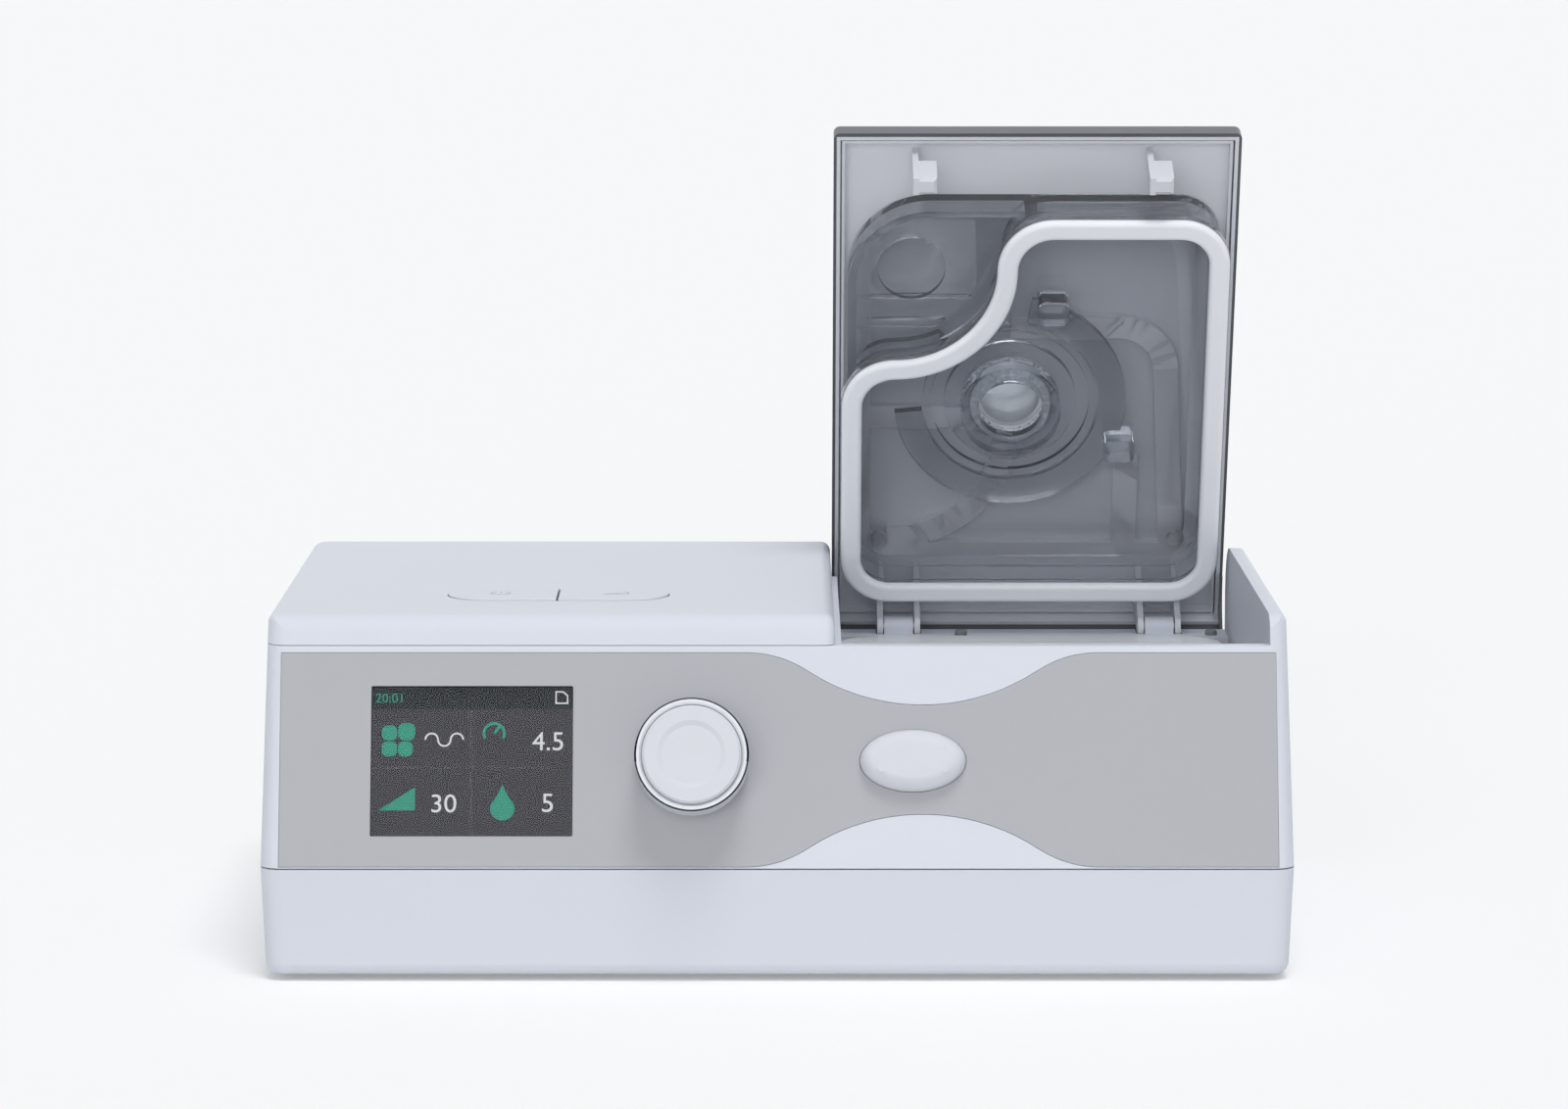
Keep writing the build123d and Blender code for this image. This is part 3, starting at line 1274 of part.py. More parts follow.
def liner_bars():
    """The bars that cross the opening of the liner, in the plan of the lid."""
    half = LINER_BAR / 2
    right = SEAL_RIGHT - LINER_BORDER - LINER_BAR
    top = STEP_S + half
    bars = Pos(OUTLET_X, OUTLET_S) * Circle(LINER_BOSS_R)
    reach = OUTLET_X - SEAL_LEFT
    bars += Pos(SEAL_LEFT + reach / 2, OUTLET_S - LINER_BAR) * Rectangle(reach, LINER_BAR)
    # an arch from the middle to the right and down to the hinge end
    bend = 2 * LINER_BAR
    path = Line((OUTLET_X, top), (right - bend, top))
    path += CenterArc((right - bend, top - bend), bend, 90, -90)
    path += Line((right, top - bend), (right + half, SEAL_NEAR))
    bars += trace(path, LINER_BAR)
    low_bar = OUTLET_S - 3 * LINER_BAR
    bars += Pos(right - 1.5 * LINER_BAR, low_bar / 2) * Rectangle(LINER_BAR, low_bar)
    # a curved bar from the left side to the boss
    sweep = OUTLET_S - SEAL_NEAR - 2 * LINER_BAR
    centre = (SEAL_LEFT + 1.5 * LINER_BAR, SEAL_NEAR + sweep)
    bars += trace(CenterArc(centre, sweep - LINER_BAR, -90, 90), LINER_BAR)
    return bars


def make_hook(x):
    """An arm that stands on the liner, with a head that reaches to the right."""
    start = LINER_FACE - ROOT
    end = LINER_FACE + HOOK_REACH
    s = (HOOK_S, HOOK_S + HOOK_DEPTH)
    arm = sunk_box((x, x + HOOK_ARM), s, (start, end))
    head = sunk_box((x, x + HOOK_HEAD), s, (end - HOOK_HEAD_LENGTH, end))
    head = chamfer(head.faces().sort_by(Axis.Z)[0].edges(), HOOK_TIP)
    return arm + head


def make_ear(x):
    """A plate from the liner to the hinge axis."""
    half = EAR_THICK / 2
    top = CASE_TOP - LINER_FACE + ROOT
    sides = [
        (HINGE_Y - EAR_ROOT, top),
        (HINGE_Y - EAR_R, HINGE_Z),
        (HINGE_Y + EAR_R, HINGE_Z),
        (HINGE_Y + EAR_R, top),
    ]
    plate = yz_prism(make_face(Polyline(*sides, close=True)), x - half, x + half)
    ear = plate + hinge_disc(EAR_R, x - half, x + half)
    return ear - hinge_disc(PIN_R + PIN_RUN, x - 2 * half, x + 2 * half)


def make_lid_liner():
    rim = CASE_TOP - LID_RIM
    face = CASE_TOP - LINER_FACE
    top = CASE_TOP - SKIN_TOP
    liner = liner_block(0, rim, top)
    liner -= liner_block(LINER_RIM, rim - PAST, face)
    ring = liner_block(LINER_RIM + LINER_GROOVE, rim + LINER_RIB_SUNK, face + ROOT)
    ring -= liner_block(LINER_RIM + LINER_GROOVE + LINER_RIB, rim, face + PAST)
    liner += ring
    tail = (BACK_Y - SKIN_BACK - LINER_RIM, BACK_Y - SKIN_BACK)
    tail_x = (LID_LEFT + SKIN_SIDE, LID_RIGHT - SKIN_SIDE)
    liner += span_box(tail_x, tail, (CASE_TOP - LINER_TAIL, face))
    liner -= sunk(full_outline(-LINER_BORDER) - liner_bars(), 0, LINER_FACE + PAST)
    for x in (HOOK_LEFT_X, HOOK_RIGHT_X):
        liner += make_hook(x)
    for x in ear_places():
        liner += make_ear(x)
    return liner - outlet_post(-PAST, REACH, HOSE_R + PIN_RUN)


def make_hinge_pins():
    pins = []
    for side in (-1, 1):
        middle = LID_X + side * EAR_X
        half = EAR_SPREAD / 2 + EAR_THICK / 2 - TOUCH_GAP
        pins.append(hinge_disc(PIN_R, middle - half, middle + half))
    return group(pins)


def make_chamber_cover():
    plate_end = LINER_FACE + COVER_PLATE
    wall_out = COVER_WALL / 2
    cover = sunk(full_outline(wall_out), LINER_FACE, CORNER_SHELF + SHELF_THICK)
    cover += sunk(chamber_outline(wall_out), LINER_FACE, COVER_RIM)
    cover += sunk(chamber_outline(COVER_FLANGE), COVER_RIM - COVER_FLANGE_THICK, COVER_RIM)
    cover -= sunk(chamber_outline(-wall_out), plate_end, COVER_RIM + PAST)
    for depth, thick in COVER_STEPS:
        band = chamber_outline(-wall_out + THIN_ROOT) - chamber_outline(-wall_out - thick)
        cover += sunk(band, plate_end - THIN_ROOT, depth)
    corner = full_outline(-wall_out) - chamber_outline(wall_out)
    cover -= sunk(corner, plate_end, CORNER_SHELF)
    for start, end in CORNER_RIBS:
        rib = full_outline(-wall_out + THIN_ROOT) - chamber_outline(wall_out - THIN_ROOT)
        rib &= Pos(0, PORT_S - (start + end) / 2) * Rectangle(2 * LID_WIDTH, start - end)
        cover += sunk(rib, plate_end - THIN_ROOT, plate_end + CORNER_RIB_HEIGHT)
    # the air crosses from the corner into the chamber through a window in the stepped wall
    arc_x = SEAL_LEFT + STEP_NEAR_R
    arc_s = STEP_S + STEP_R
    window = Pos(STEP_R, 0, AIR_WINDOW_HEIGHT / 2) * Box(REACH, AIR_WINDOW_WIDTH, AIR_WINDOW_HEIGHT)
    cover -= LID * Pos(arc_x, arc_s, plate_end) * Rot(0, 0, -45) * window
    cover -= sunk_post(
        PORT_X, PORT_S, CORNER_SHELF - PAST, CORNER_SHELF + 2 * SHELF_THICK, PORT_R
    )
    root = plate_end - ROOT
    seat_r = LOCK_IN_R - CLEAR
    cover += outlet_post(root, OUTLET_TUBE_END, OUTLET_TUBE_R)
    cover += outlet_post(root, plate_end + OUTLET_STEP, OUTLET_STEP_R)
    cover += outlet_post(root, plate_end + SEAT_RIB, seat_r) - outlet_cut(seat_r - SEAT_RIB_WIDTH)
    cover -= outlet_cut(OUTLET_BORE_R)
    cover -= outlet_post(0, ELBOW_END + ELBOW_SEAL_END, ELBOW_FOOT_R + CLEAR)
    return cover


def make_chamber_gasket():
    ring = sunk(chamber_outline(SEAL_WIDTH / 2), COVER_RIM, COVER_RIM + SEAL_THICK)
    ring -= sunk(chamber_outline(-SEAL_WIDTH / 2), COVER_RIM - PAST, COVER_RIM + SEAL_THICK + PAST)
    lowest = ring.faces().sort_by(Axis.Z)[0]
    return fillet(lowest.edges(), SEAL_EDGE_R)


def cover_screw_places():
    left = SEAL_LEFT + COVER_SCREW_INSET
    right = SEAL_RIGHT - COVER_SCREW_INSET
    near = SEAL_NEAR + COVER_SCREW_INSET
    return [
        (left, near),
        (right, near),
        (right, SEAL_FAR - COVER_SCREW_INSET),
        (left, STEP_S - COVER_SCREW_STEP),
    ]


def make_cover_screws():
    screws = []
    plate_end = LINER_FACE + COVER_PLATE
    for x, s in cover_screw_places():
        screws.append(sunk_post(x, s, plate_end, plate_end + COVER_SCREW_HEAD, COVER_SCREW_R))
    return group(screws)


def make_lock_ring():
    start = LINER_FACE + COVER_PLATE + TOUCH_GAP
    ring = outlet_post(start, start + LOCK_THICK, LOCK_OUT_R) - outlet_cut(LOCK_IN_R)
    first, last = (math.radians(angle) for angle in LOCK_OPEN_ANGLES)
    reach = 3 * LOCK_OUT_R
    wedge = Polyline(
        (0, 0),
        (reach * math.cos(first), reach * math.sin(first)),
        (reach * math.cos((first + last) / 2), reach * math.sin((first + last) / 2)),
        (reach * math.cos(last), reach * math.sin(last)),
        close=True,
    )
    wedge = Pos(OUTLET_X, OUTLET_S) * make_face(wedge)
    ring -= sunk(wedge, start - PAST, start + LOCK_THICK + PAST)
    # both finger lugs stand square to the lid
    lug = RectangleRounded(LOCK_LUG_WIDTH, LOCK_LUG_LENGTH, LOCK_LUG_R)
    for angle in (math.radians(angle) for angle in LOCK_LUG_ANGLES):
        x = OUTLET_X + LOCK_LUG_CENTRE_R * math.cos(angle)
        s = OUTLET_S + LOCK_LUG_CENTRE_R * math.sin(angle)
        ring += sunk(Pos(x, s) * lug, start, start + LOCK_LUG_HEIGHT)
    return ring


# ---------------------------------------------------------------- outlet elbow

ELBOW_END = LINER_FACE + TOUCH_GAP + ELBOW_FOOT


def elbow_arm(length, radius):
    """A round bar along the arm, from the middle of the bend."""
    return Pos(-length / 2, 0, 0) * Rot(0, 90, 0) * Cylinder(radius, length)


def make_outlet_elbow():
    """Turns on its upright stub, and its hose end points to the left, along the hinge axis."""
    bend = LID * Pos(OUTLET_X, OUTLET_S, -ELBOW_RISE)
    elbow = outlet_post(-ELBOW_RISE, ELBOW_END, HOSE_R)
    elbow += outlet_post(LINER_FACE + TOUCH_GAP, ELBOW_END, ELBOW_FOOT_R)
    elbow += outlet_post(-TOUCH_GAP - ELBOW_COLLAR, -TOUCH_GAP, ELBOW_COLLAR_R)
    elbow += bend * Sphere(HOSE_R + ELBOW_SLEEVE)
    elbow += bend * elbow_arm(ELBOW_REACH, HOSE_R)
    elbow += bend * elbow_arm(ELBOW_REACH - ELBOW_GRIP, HOSE_R + ELBOW_SLEEVE)
    elbow -= outlet_post(-ELBOW_RISE, ELBOW_END + PAST, ELBOW_BORE)
    elbow -= bend * Sphere(ELBOW_BORE)
    elbow -= bend * elbow_arm(ELBOW_REACH + 2 * PAST, ELBOW_BORE)
    return elbow


def make_elbow_seal():
    seal = outlet_post(ELBOW_END + ELBOW_SEAL_GAP, ELBOW_END + ELBOW_SEAL_END, ELBOW_FOOT_R)
    return seal - outlet_cut(OUTLET_BORE_R)


# ---------------------------------------------------------------- water tub


def tub_outline(offset, z_low, z_high):
    return sunk(chamber_outline(offset), depth_of(z_high), depth_of(z_low))


def make_water_tub():
    body_out = TUB_WALL / 2
    tub = tub_outline(body_out, TUB_FLOOR, TUB_RIM)
    tub += tub_outline(TUB_FLANGE, TUB_RIM - TUB_RIM_THICK, TUB_RIM)
    tub -= tub_outline(-body_out, TUB_FLOOR + TUB_WALL, TUB_RIM + PAST)
    shelf = chamber_outline(0) & Pos(0, SEAL_NEAR) * Rectangle(2 * LID_WIDTH, 2 * TUB_SHELF)
    tub += sunk(shelf, depth_of(TUB_RIM), depth_of(TUB_RIM - TUB_RIM_THICK))
    tub -= post(TUB_CENTRE_X, TUB_CENTRE_Y, TUB_FLOOR - PAST, TUB_FLOOR + TUB_PLATE, TUB_PLATE_R)
    return tub


def make_tub_plate():
    return post(TUB_CENTRE_X, TUB_CENTRE_Y, TUB_FLOOR, TUB_FLOOR + TUB_PLATE, TUB_PLATE_R)


def make_heater_plate():
    return post(TUB_CENTRE_X, TUB_CENTRE_Y, HEATER_LOW, HEATER_TOP, HEATER_R)


def make_heater_ring():
    return tube(
        TUB_CENTRE_X,
        TUB_CENTRE_Y,
        HEATER_LOW,
        HEATER_TOP - HEATER_RING_DROP,
        HEATER_R + HEATER_LIP,
        HEATER_R,
    )


def make_port_seal():
    start = depth_of(ISLAND_TOP + PORT_SEAL)
    end = depth_of(ISLAND_TOP)
    ring = sunk_post(PORT_X, PORT_S, start, end, PORT_R + PORT_SEAL_WIDTH)
    return ring - sunk_post(PORT_X, PORT_S, start - PAST, end + PAST, PORT_R)


def make_deck_dampers():
    dampers = []
    for x in (LID_X - DAMPER_LEFT, LID_X + SEAL_RIGHT + TUB_FLANGE - DAMPER_INSET):
        y = DECK_FRONT + DAMPER_R + DAMPER_BACK
        damper = post(x, y, DECK_Z, DECK_Z + DAMPER_PROUD, DAMPER_R)
        dampers.append(fillet(damper.edges().group_by(Axis.Z)[-1], DAMPER_PROUD / 2))
    return group(dampers)


# ---------------------------------------------------------------- blower

BLOWER_Y = back(BLOWER_BACK)


def blower_plan(grow):
    """Round volute with a straight exit that leaves to the right along its front side."""
    round_part = Circle(BLOWER_R + grow)
    exit_part = Pos(BLOWER_R / 2, -BLOWER_R + EXIT_WIDTH / 2) * Rectangle(
        BLOWER_R + EXIT_PAST, EXIT_WIDTH + 2 * grow
    )
    return round_part + exit_part


def blower_layer(plan, z_low, z_high):
    return extrude(Pos(BLOWER_X, BLOWER_Y, z_low) * plan, z_high - z_low)


def blower_mouth(z_low, z_high):
    """The opening at the end of the exit."""
    exit_x = BLOWER_X + BLOWER_R / 2
    exit_y = BLOWER_Y - BLOWER_R + BLOWER_WALL
    width = EXIT_WIDTH - 2 * BLOWER_WALL
    return span_box((exit_x, exit_x + BLOWER_R), (exit_y, exit_y + width), (z_low, z_high))


def make_blower_lower():
    low = BLOWER_LOW + BLOWER_WALL
    high = BLOWER_SPLIT + PAST
    half = blower_layer(blower_plan(0), BLOWER_LOW, BLOWER_SPLIT)
    half -= blower_layer(blower_plan(-BLOWER_WALL), low, high)
    half -= blower_mouth(low, high)
    return half - post(BLOWER_X, BLOWER_Y, BLOWER_LOW - PAST, low + BLOWER_WALL + PAST, EYE_R)


def make_blower_upper():
    low = BLOWER_SPLIT - PAST
    high = BLOWER_HIGH - BLOWER_WALL
    half = blower_layer(blower_plan(0), BLOWER_SPLIT, BLOWER_HIGH)
    half -= blower_layer(blower_plan(-BLOWER_WALL), low, high)
    half -= blower_mouth(low, high)
    hole_r = MOTOR_SHAFT_R + MOTOR_SHAFT_GAP
    return half - post(BLOWER_X, BLOWER_Y, high - BLOWER_WALL - PAST, BLOWER_HIGH + PAST, hole_r)


IMPELLER_LOW = BLOWER_SPLIT - IMPELLER_HEIGHT / 2


def make_impeller():
    """Backplate, hub and backward-curved blades under a shroud with a round eye."""
    disc = extrude(Circle(IMPELLER_R), IMPELLER_DISC)
    wheel = Pos(0, 0, IMPELLER_HEIGHT - IMPELLER_DISC) * disc
    wheel += disc - Cylinder(EYE_R, REACH)
    wheel += extrude(Circle(HUB_R), IMPELLER_HEIGHT)
    tip = (IMPELLER_R * BLADE_END[0], IMPELLER_R * BLADE_END[1])
    curve = RadiusArc((BLADE_START, 0), tip, IMPELLER_R * BLADE_BOW)
    blade = extrude(make_face(trace_band(curve)), IMPELLER_HEIGHT - BLADE_GAP)
    for index in range(BLADES):
        wheel += Rot(0, 0, index * 360 / BLADES) * Pos(0, 0, BLADE_GAP / 2) * blade
    wheel -= Cylinder(MOTOR_SHAFT_R, 6 * REACH)
    return Pos(BLOWER_X, BLOWER_Y, IMPELLER_LOW) * wheel


def trace_band(curve):
    """The closed edge of a thin band of the blade's thickness along a curve."""
    near = curve
    far = offset_arc(curve, BLADE_THICK)
    return [near, Line(near @ 1, far @ 1), far, Line(far @ 0, near @ 0)]


def offset_arc(curve, distance):
    centre = curve.arc_center
    start = curve @ 0
    end = curve @ 1
    radius = curve.radius
    scale = (radius + distance) / radius
    moved = [
        (centre.X + (p.X - centre.X) * scale, centre.Y + (p.Y - centre.Y) * scale)
        for p in (start, end)
    ]
    middle = curve @ 0.5
    via = (
        centre.X + (middle.X - centre.X) * scale,
        centre.Y + (middle.Y - centre.Y) * scale,
    )
    return ThreePointArc(moved[0], via, moved[1])


def make_motor_shaft():
    low = IMPELLER_LOW - MOTOR_SHAFT_LOW
    return post(BLOWER_X, BLOWER_Y, low, BLOWER_HIGH + MOTOR_SHAFT_IN, MOTOR_SHAFT_R)


def make_blower_motor():
    can = post(BLOWER_X, BLOWER_Y, BLOWER_HIGH, BLOWER_HIGH + MOTOR_HEIGHT, MOTOR_R)
    can = fillet(can.edges().group_by(Axis.Z)[-1], MOTOR_EDGE_R)
    bore_end = BLOWER_HIGH + MOTOR_SHAFT_IN + PAST
    return can - post(BLOWER_X, BLOWER_Y, BLOWER_HIGH - PAST, bore_end, MOTOR_SHAFT_R + PIN_RUN)


def blower_mount_places():
    reach = (BLOWER_R - MOUNT_INSET) / math.sqrt(2)
    return [
        (BLOWER_X + side_x * reach, back(BLOWER_BACK) + side_y * reach)
        for side_x in (-1, 1)
        for side_y in (-1, 1)
    ]


def make_blower_mounts():
    low = BLOWER_LOW - MOUNT_HEIGHT
    return group([post(x, y, low, BLOWER_LOW, MOUNT_R) for x, y in blower_mount_places()])


def make_air_duct():
    """From the blower's exit up and across to the raised corner of the tub bay."""
    start_x = BLOWER_X + BLOWER_R + EXIT_PAST / 2
    exit_y = BLOWER_Y - BLOWER_R + EXIT_WIDTH / 2
    exit_z = (BLOWER_LOW + BLOWER_HIGH) / 2
    start = Plane(origin=(start_x, exit_y, exit_z), x_dir=(0, 1, 0), z_dir=(1, 0, 0))
    end_x = COVER_END_X - BAY_WALL
    end = Plane(origin=(end_x, back(DUCT_Y), DUCT_Z), x_dir=(0, 1, 0), z_dir=(1, 0, 0))
    height = EXIT_WIDTH + DUCT_MOUTH
    end_size = 2 * (DUCT_R + DUCT_END_WALL)
    outer = [
        start * RectangleRounded(EXIT_WIDTH, height, DUCT_MOUTH_R),
        end * RectangleRounded(end_size, end_size, DUCT_R),
    ]
    bore_r = DUCT_MOUTH_R - DUCT_WALL / 2
    inner = [
        start * RectangleRounded(EXIT_WIDTH - 2 * DUCT_WALL, height - 2 * DUCT_WALL, bore_r),
        end * RectangleRounded(2 * DUCT_R, 2 * DUCT_R, 0.95 * DUCT_R),
    ]
    return loft(outer) - loft(inner)


# ---------------------------------------------------------------- intake, jack, card, boards


def make_filter_door():
    width = FILTER_WIDTH + 2 * DOOR_BORDER
    height = FILTER_HEIGHT + 2 * DOOR_BORDER
    door = Pos(FILTER_X, BACK_Y - DOOR_THICK / 2, FILTER_Z) * Box(width, DOOR_THICK, height)
    door = fillet(door.edges().filter_by(Axis.Y), DOOR_R)
    for index in range(SLOTS):
        z = FILTER_Z + (index - (SLOTS - 1) / 2) * (FILTER_HEIGHT - SLOT_BORDER) / SLOTS
        outline = SlotOverall(FILTER_WIDTH - SLOT_INSET, SLOT_HEIGHT)
        slot = Rot(90, 0, 0) * extrude(outline, 2 * REACH, both=True)
        door -= Pos(FILTER_X, BACK_Y, z) * slot
    return door


def make_air_filter():
    return Pos(FILTER_X, BACK_Y - DOOR_THICK - FILTER_THICK / 2, FILTER_Z) * Box(
        FILTER_WIDTH - FILTER_SLACK, FILTER_THICK, FILTER_HEIGHT - FILTER_SLACK
    )


INTAKE_BACK = BACK_Y - WALL


def make_intake_box():
    middle_y = INTAKE_BACK - INTAKE_DEPTH / 2
    outer = Pos(FILTER_X, middle_y, FILTER_Z) * Box(
        FILTER_WIDTH + 2 * INTAKE_WALL, INTAKE_DEPTH, FILTER_HEIGHT + 2 * INTAKE_WALL
    )
    inner = Pos(FILTER_X, middle_y + INTAKE_WALL / 2, FILTER_Z) * Box(
        FILTER_WIDTH, INTAKE_DEPTH - INTAKE_WALL + INTAKE_OPEN, FILTER_HEIGHT
    )
    leg_top = FILTER_Z - (FILTER_HEIGHT + INTAKE_WALL) / 2
    leg = post(FILTER_X, middle_y, FLOOR, leg_top, INTAKE_LEG_R)
    return outer - inner + leg


def make_muffler_foam():
    front = BACK_Y - DOOR_THICK - FILTER_THICK - FOAM_GAP
    depth = INTAKE_DEPTH - FOAM_SHORT
    return Pos(FILTER_X, front - depth / 2, FILTER_Z) * Box(
        FILTER_WIDTH - FOAM_SLACK, depth, FILTER_HEIGHT - FOAM_SLACK
    )


def make_dc_jack():
    jack = Pos(JACK_X, BACK_Y - WALL - JACK_FLANGE / 2, JACK_Z) * Box(
        JACK_FLANGE_WIDTH, JACK_FLANGE, JACK_FLANGE_HEIGHT
    )
    jack += Pos(JACK_X, BACK_Y - WALL / 2, JACK_Z) * Rot(90, 0, 0) * Cylinder(
        JACK_R - JACK_SLACK, WALL
    )
    jack += Pos(JACK_X, BACK_Y - JACK_BODY_BACK, JACK_Z) * Box(JACK_BODY, JACK_BODY_DEPTH, JACK_BODY)
    jack -= Pos(JACK_X, BACK_Y, JACK_Z) * Rot(90, 0, 0) * Cylinder(JACK_BORE_R, 2 * JACK_BORE)
    pin = Pos(JACK_X, BACK_Y - JACK_PIN_BACK, JACK_Z) * Rot(90, 0, 0)
    return jack + pin * Cylinder(JACK_PIN_R, JACK_PIN)


CARD_LEFT = LEFT_SIDE + CARD_SUNK


def make_card_socket():
    left = LEFT_SIDE + WALL + CARD_SOCKET_GAP
    right = CARD_LEFT + CARD_LENGTH
    socket = span_box(
        (left, right + CARD_SOCKET_END),
        card_span((CARD_SOCKET_WIDTH - CARD_WIDTH) / 2),
        (CARD_Z - CARD_SOCKET_LOW, CARD_Z + CARD_SOCKET_HIGH),
    )
    room = span_box(
        (left - PAST, right + CARD_GAP),
        card_span(CARD_GAP),
        (CARD_Z - CARD_THICK / 2 - CARD_SLACK, CARD_Z + CARD_THICK / 2 + CARD_GAP),
    )
    return socket - room


def make_memory_card():
    return span_box(
        (CARD_LEFT, CARD_LEFT + CARD_LENGTH),
        card_span(0),
        (CARD_Z - CARD_THICK / 2, CARD_Z + CARD_THICK / 2),
    )


MAIN_BOARD_Z = FLOOR + MAIN_BOARD_LIFT
MAIN_BOARD_X = (LEFT_SIDE + MAIN_BOARD_SIDE, BLOWER_X - BLOWER_R - MAIN_BOARD_GAP)


def main_board_posts():
    return [
        (x, back(y))
        for x in (MAIN_BOARD_X[0] + MAIN_POST_LEFT, MAIN_BOARD_X[1] - MAIN_POST_INSET)
        for y in (MAIN_BOARD_BACK[0] + MAIN_POST_INSET, MAIN_BOARD_BACK[1] - MAIN_POST_INSET)
    ]


def main_board_block(width, span, height):
    """A component in the middle of the board's width."""
    middle = sum(MAIN_BOARD_X) / 2
    front = back(MAIN_BOARD_BACK[0])
    top = MAIN_BOARD_Z + BOARD_THICK
    return span_box(
        (middle - width / 2, middle + width / 2),
        (front + span[0], front + span[1]),
        (top - THIN_ROOT, top + height),
    )


def make_main_board():
    y = (back(MAIN_BOARD_BACK[0]), back(MAIN_BOARD_BACK[1]))
    top = MAIN_BOARD_Z + BOARD_THICK
    board = span_box(MAIN_BOARD_X, y, (MAIN_BOARD_Z, top))
    width = MAIN_BOARD_X[1] - MAIN_BOARD_X[0]
    pitch = (width - 2 * CAPACITOR_BORDER) / (CAPACITORS - 1)
    for index in range(CAPACITORS):
        x = MAIN_BOARD_X[0] + CAPACITOR_BORDER + pitch * index
        can_top = top + CAPACITOR_HIGH
        board += post(x, y[0] + CAPACITOR_BACK, top - THIN_ROOT, can_top, CAPACITOR_SHARE * pitch)
    board += main_board_block(TRANSFORMER_WIDTH, TRANSFORMER_BACK, TRANSFORMER_HIGH)
    board += main_board_block(DRIVER_WIDTH, DRIVER_BACK, DRIVER_HIGH)
    return board


PARTS = {
    "base_shell": make_base_shell,
    "mid_housing": make_mid_housing,
    "top_cover": lambda: make_top_cover() + make_switch_bridge(),
    "feet": make_feet,
    "case_screws": make_case_screws,
    "fascia": make_fascia,
    "display_lens": make_display_lens,
    "lcd_module": make_lcd_module,
    "display_board": make_display_board,
    "encoder": make_encoder,
    "encoder_plunger": make_encoder_plunger,
    "encoder_shaft": make_encoder_shaft,
    "knob_ring": make_knob_ring,
    "knob_cap": make_knob_cap,
    "latch_button": make_latch_button,
    "latch_bar": make_latch_bar,
    "power_button": lambda: make_top_button(-1),
    "ramp_button": lambda: make_top_button(1),
    "switch_board": make_switch_board,
    "lid_skin": lambda: opened(make_lid_skin()),
    "lid_liner": lambda: opened(make_lid_liner()),
    "hinge_pins": make_hinge_pins,
    "chamber_cover": lambda: opened(make_chamber_cover()),
    "chamber_gasket": lambda: opened(make_chamber_gasket()),
    "cover_screws": lambda: opened(make_cover_screws()),
    "lock_ring": lambda: opened(make_lock_ring()),
    "outlet_elbow": lambda: opened(make_outlet_elbow()),
    "elbow_seal": lambda: opened(make_elbow_seal()),
    "water_tub": make_water_tub,
    "tub_plate": make_tub_plate,
    "heater_plate": make_heater_plate,
    "heater_ring": make_heater_ring,
    "port_seal": make_port_seal,
    "deck_dampers": make_deck_dampers,
    "blower_lower": make_blower_lower,
    "blower_upper": make_blower_upper,
    "impeller": make_impeller,
    "motor_shaft": make_motor_shaft,
    "blower_motor": make_blower_motor,
    "blower_mounts": make_blower_mounts,
    "air_duct": make_air_duct,
    "filter_door": make_filter_door,
    "air_filter": make_air_filter,
    "intake_box": make_intake_box,
    "muffler_foam": make_muffler_foam,
    "dc_jack": make_dc_jack,
    "card_socket": make_card_socket,
    "memory_card": make_memory_card,
    "main_board": make_main_board,
}

for name, make in PARTS.items():
    save(name, make())
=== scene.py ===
import bmesh
import bpy
import json
import math
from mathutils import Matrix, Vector


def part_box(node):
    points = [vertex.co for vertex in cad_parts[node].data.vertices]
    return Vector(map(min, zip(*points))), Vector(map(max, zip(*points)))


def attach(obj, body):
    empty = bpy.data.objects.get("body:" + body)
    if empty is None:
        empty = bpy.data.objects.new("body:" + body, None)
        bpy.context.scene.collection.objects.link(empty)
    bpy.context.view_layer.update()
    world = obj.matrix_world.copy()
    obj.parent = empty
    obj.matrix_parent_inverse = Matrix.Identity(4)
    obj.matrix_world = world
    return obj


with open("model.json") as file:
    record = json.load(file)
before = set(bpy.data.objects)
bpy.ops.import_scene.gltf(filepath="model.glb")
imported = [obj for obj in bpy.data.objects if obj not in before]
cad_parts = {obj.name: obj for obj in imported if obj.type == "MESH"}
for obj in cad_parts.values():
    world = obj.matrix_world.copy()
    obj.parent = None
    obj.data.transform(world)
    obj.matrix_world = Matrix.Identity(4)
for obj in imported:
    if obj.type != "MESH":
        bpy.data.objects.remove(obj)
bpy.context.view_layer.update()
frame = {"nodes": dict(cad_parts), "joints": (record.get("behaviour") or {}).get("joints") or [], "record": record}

MM = 0.001
NODES = frame["nodes"]
JOINTS = {joint["name"]: joint for joint in frame["joints"]}

# ---------------------------------------------------------------- places on the machine

RIGHT = Vector((1, 0, 0))
FACE_OUT = -Vector(JOINTS["shaft_press"]["axis"])  # square out of the slanted front
FACE_UP = FACE_OUT.cross(RIGHT)
LID_OUT = Vector(JOINTS["elbow_swivel"]["axis"])  # out of the lid's outer side


def corners(node):
    low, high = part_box(node)
    return Vector(low), Vector(high)


def middle(node):
    low, high = corners(node)
    return (low + high) / 2


def furthest(node, direction):
    """How far a node reaches along a direction, from the origin."""
    return max(vertex.co.dot(direction) for vertex in NODES[node].data.vertices)


# ---------------------------------------------------------------- shader nodes


def feed(tree, socket, value):
    """Gives a socket a fixed value, or links the output of another node to it."""
    if isinstance(value, bpy.types.NodeSocket):
        tree.links.new(value, socket)
    else:
        socket.default_value = value


def feed_all(tree, node, values):
    for label, value in values.items():
        feed(tree, node.inputs[label], value)


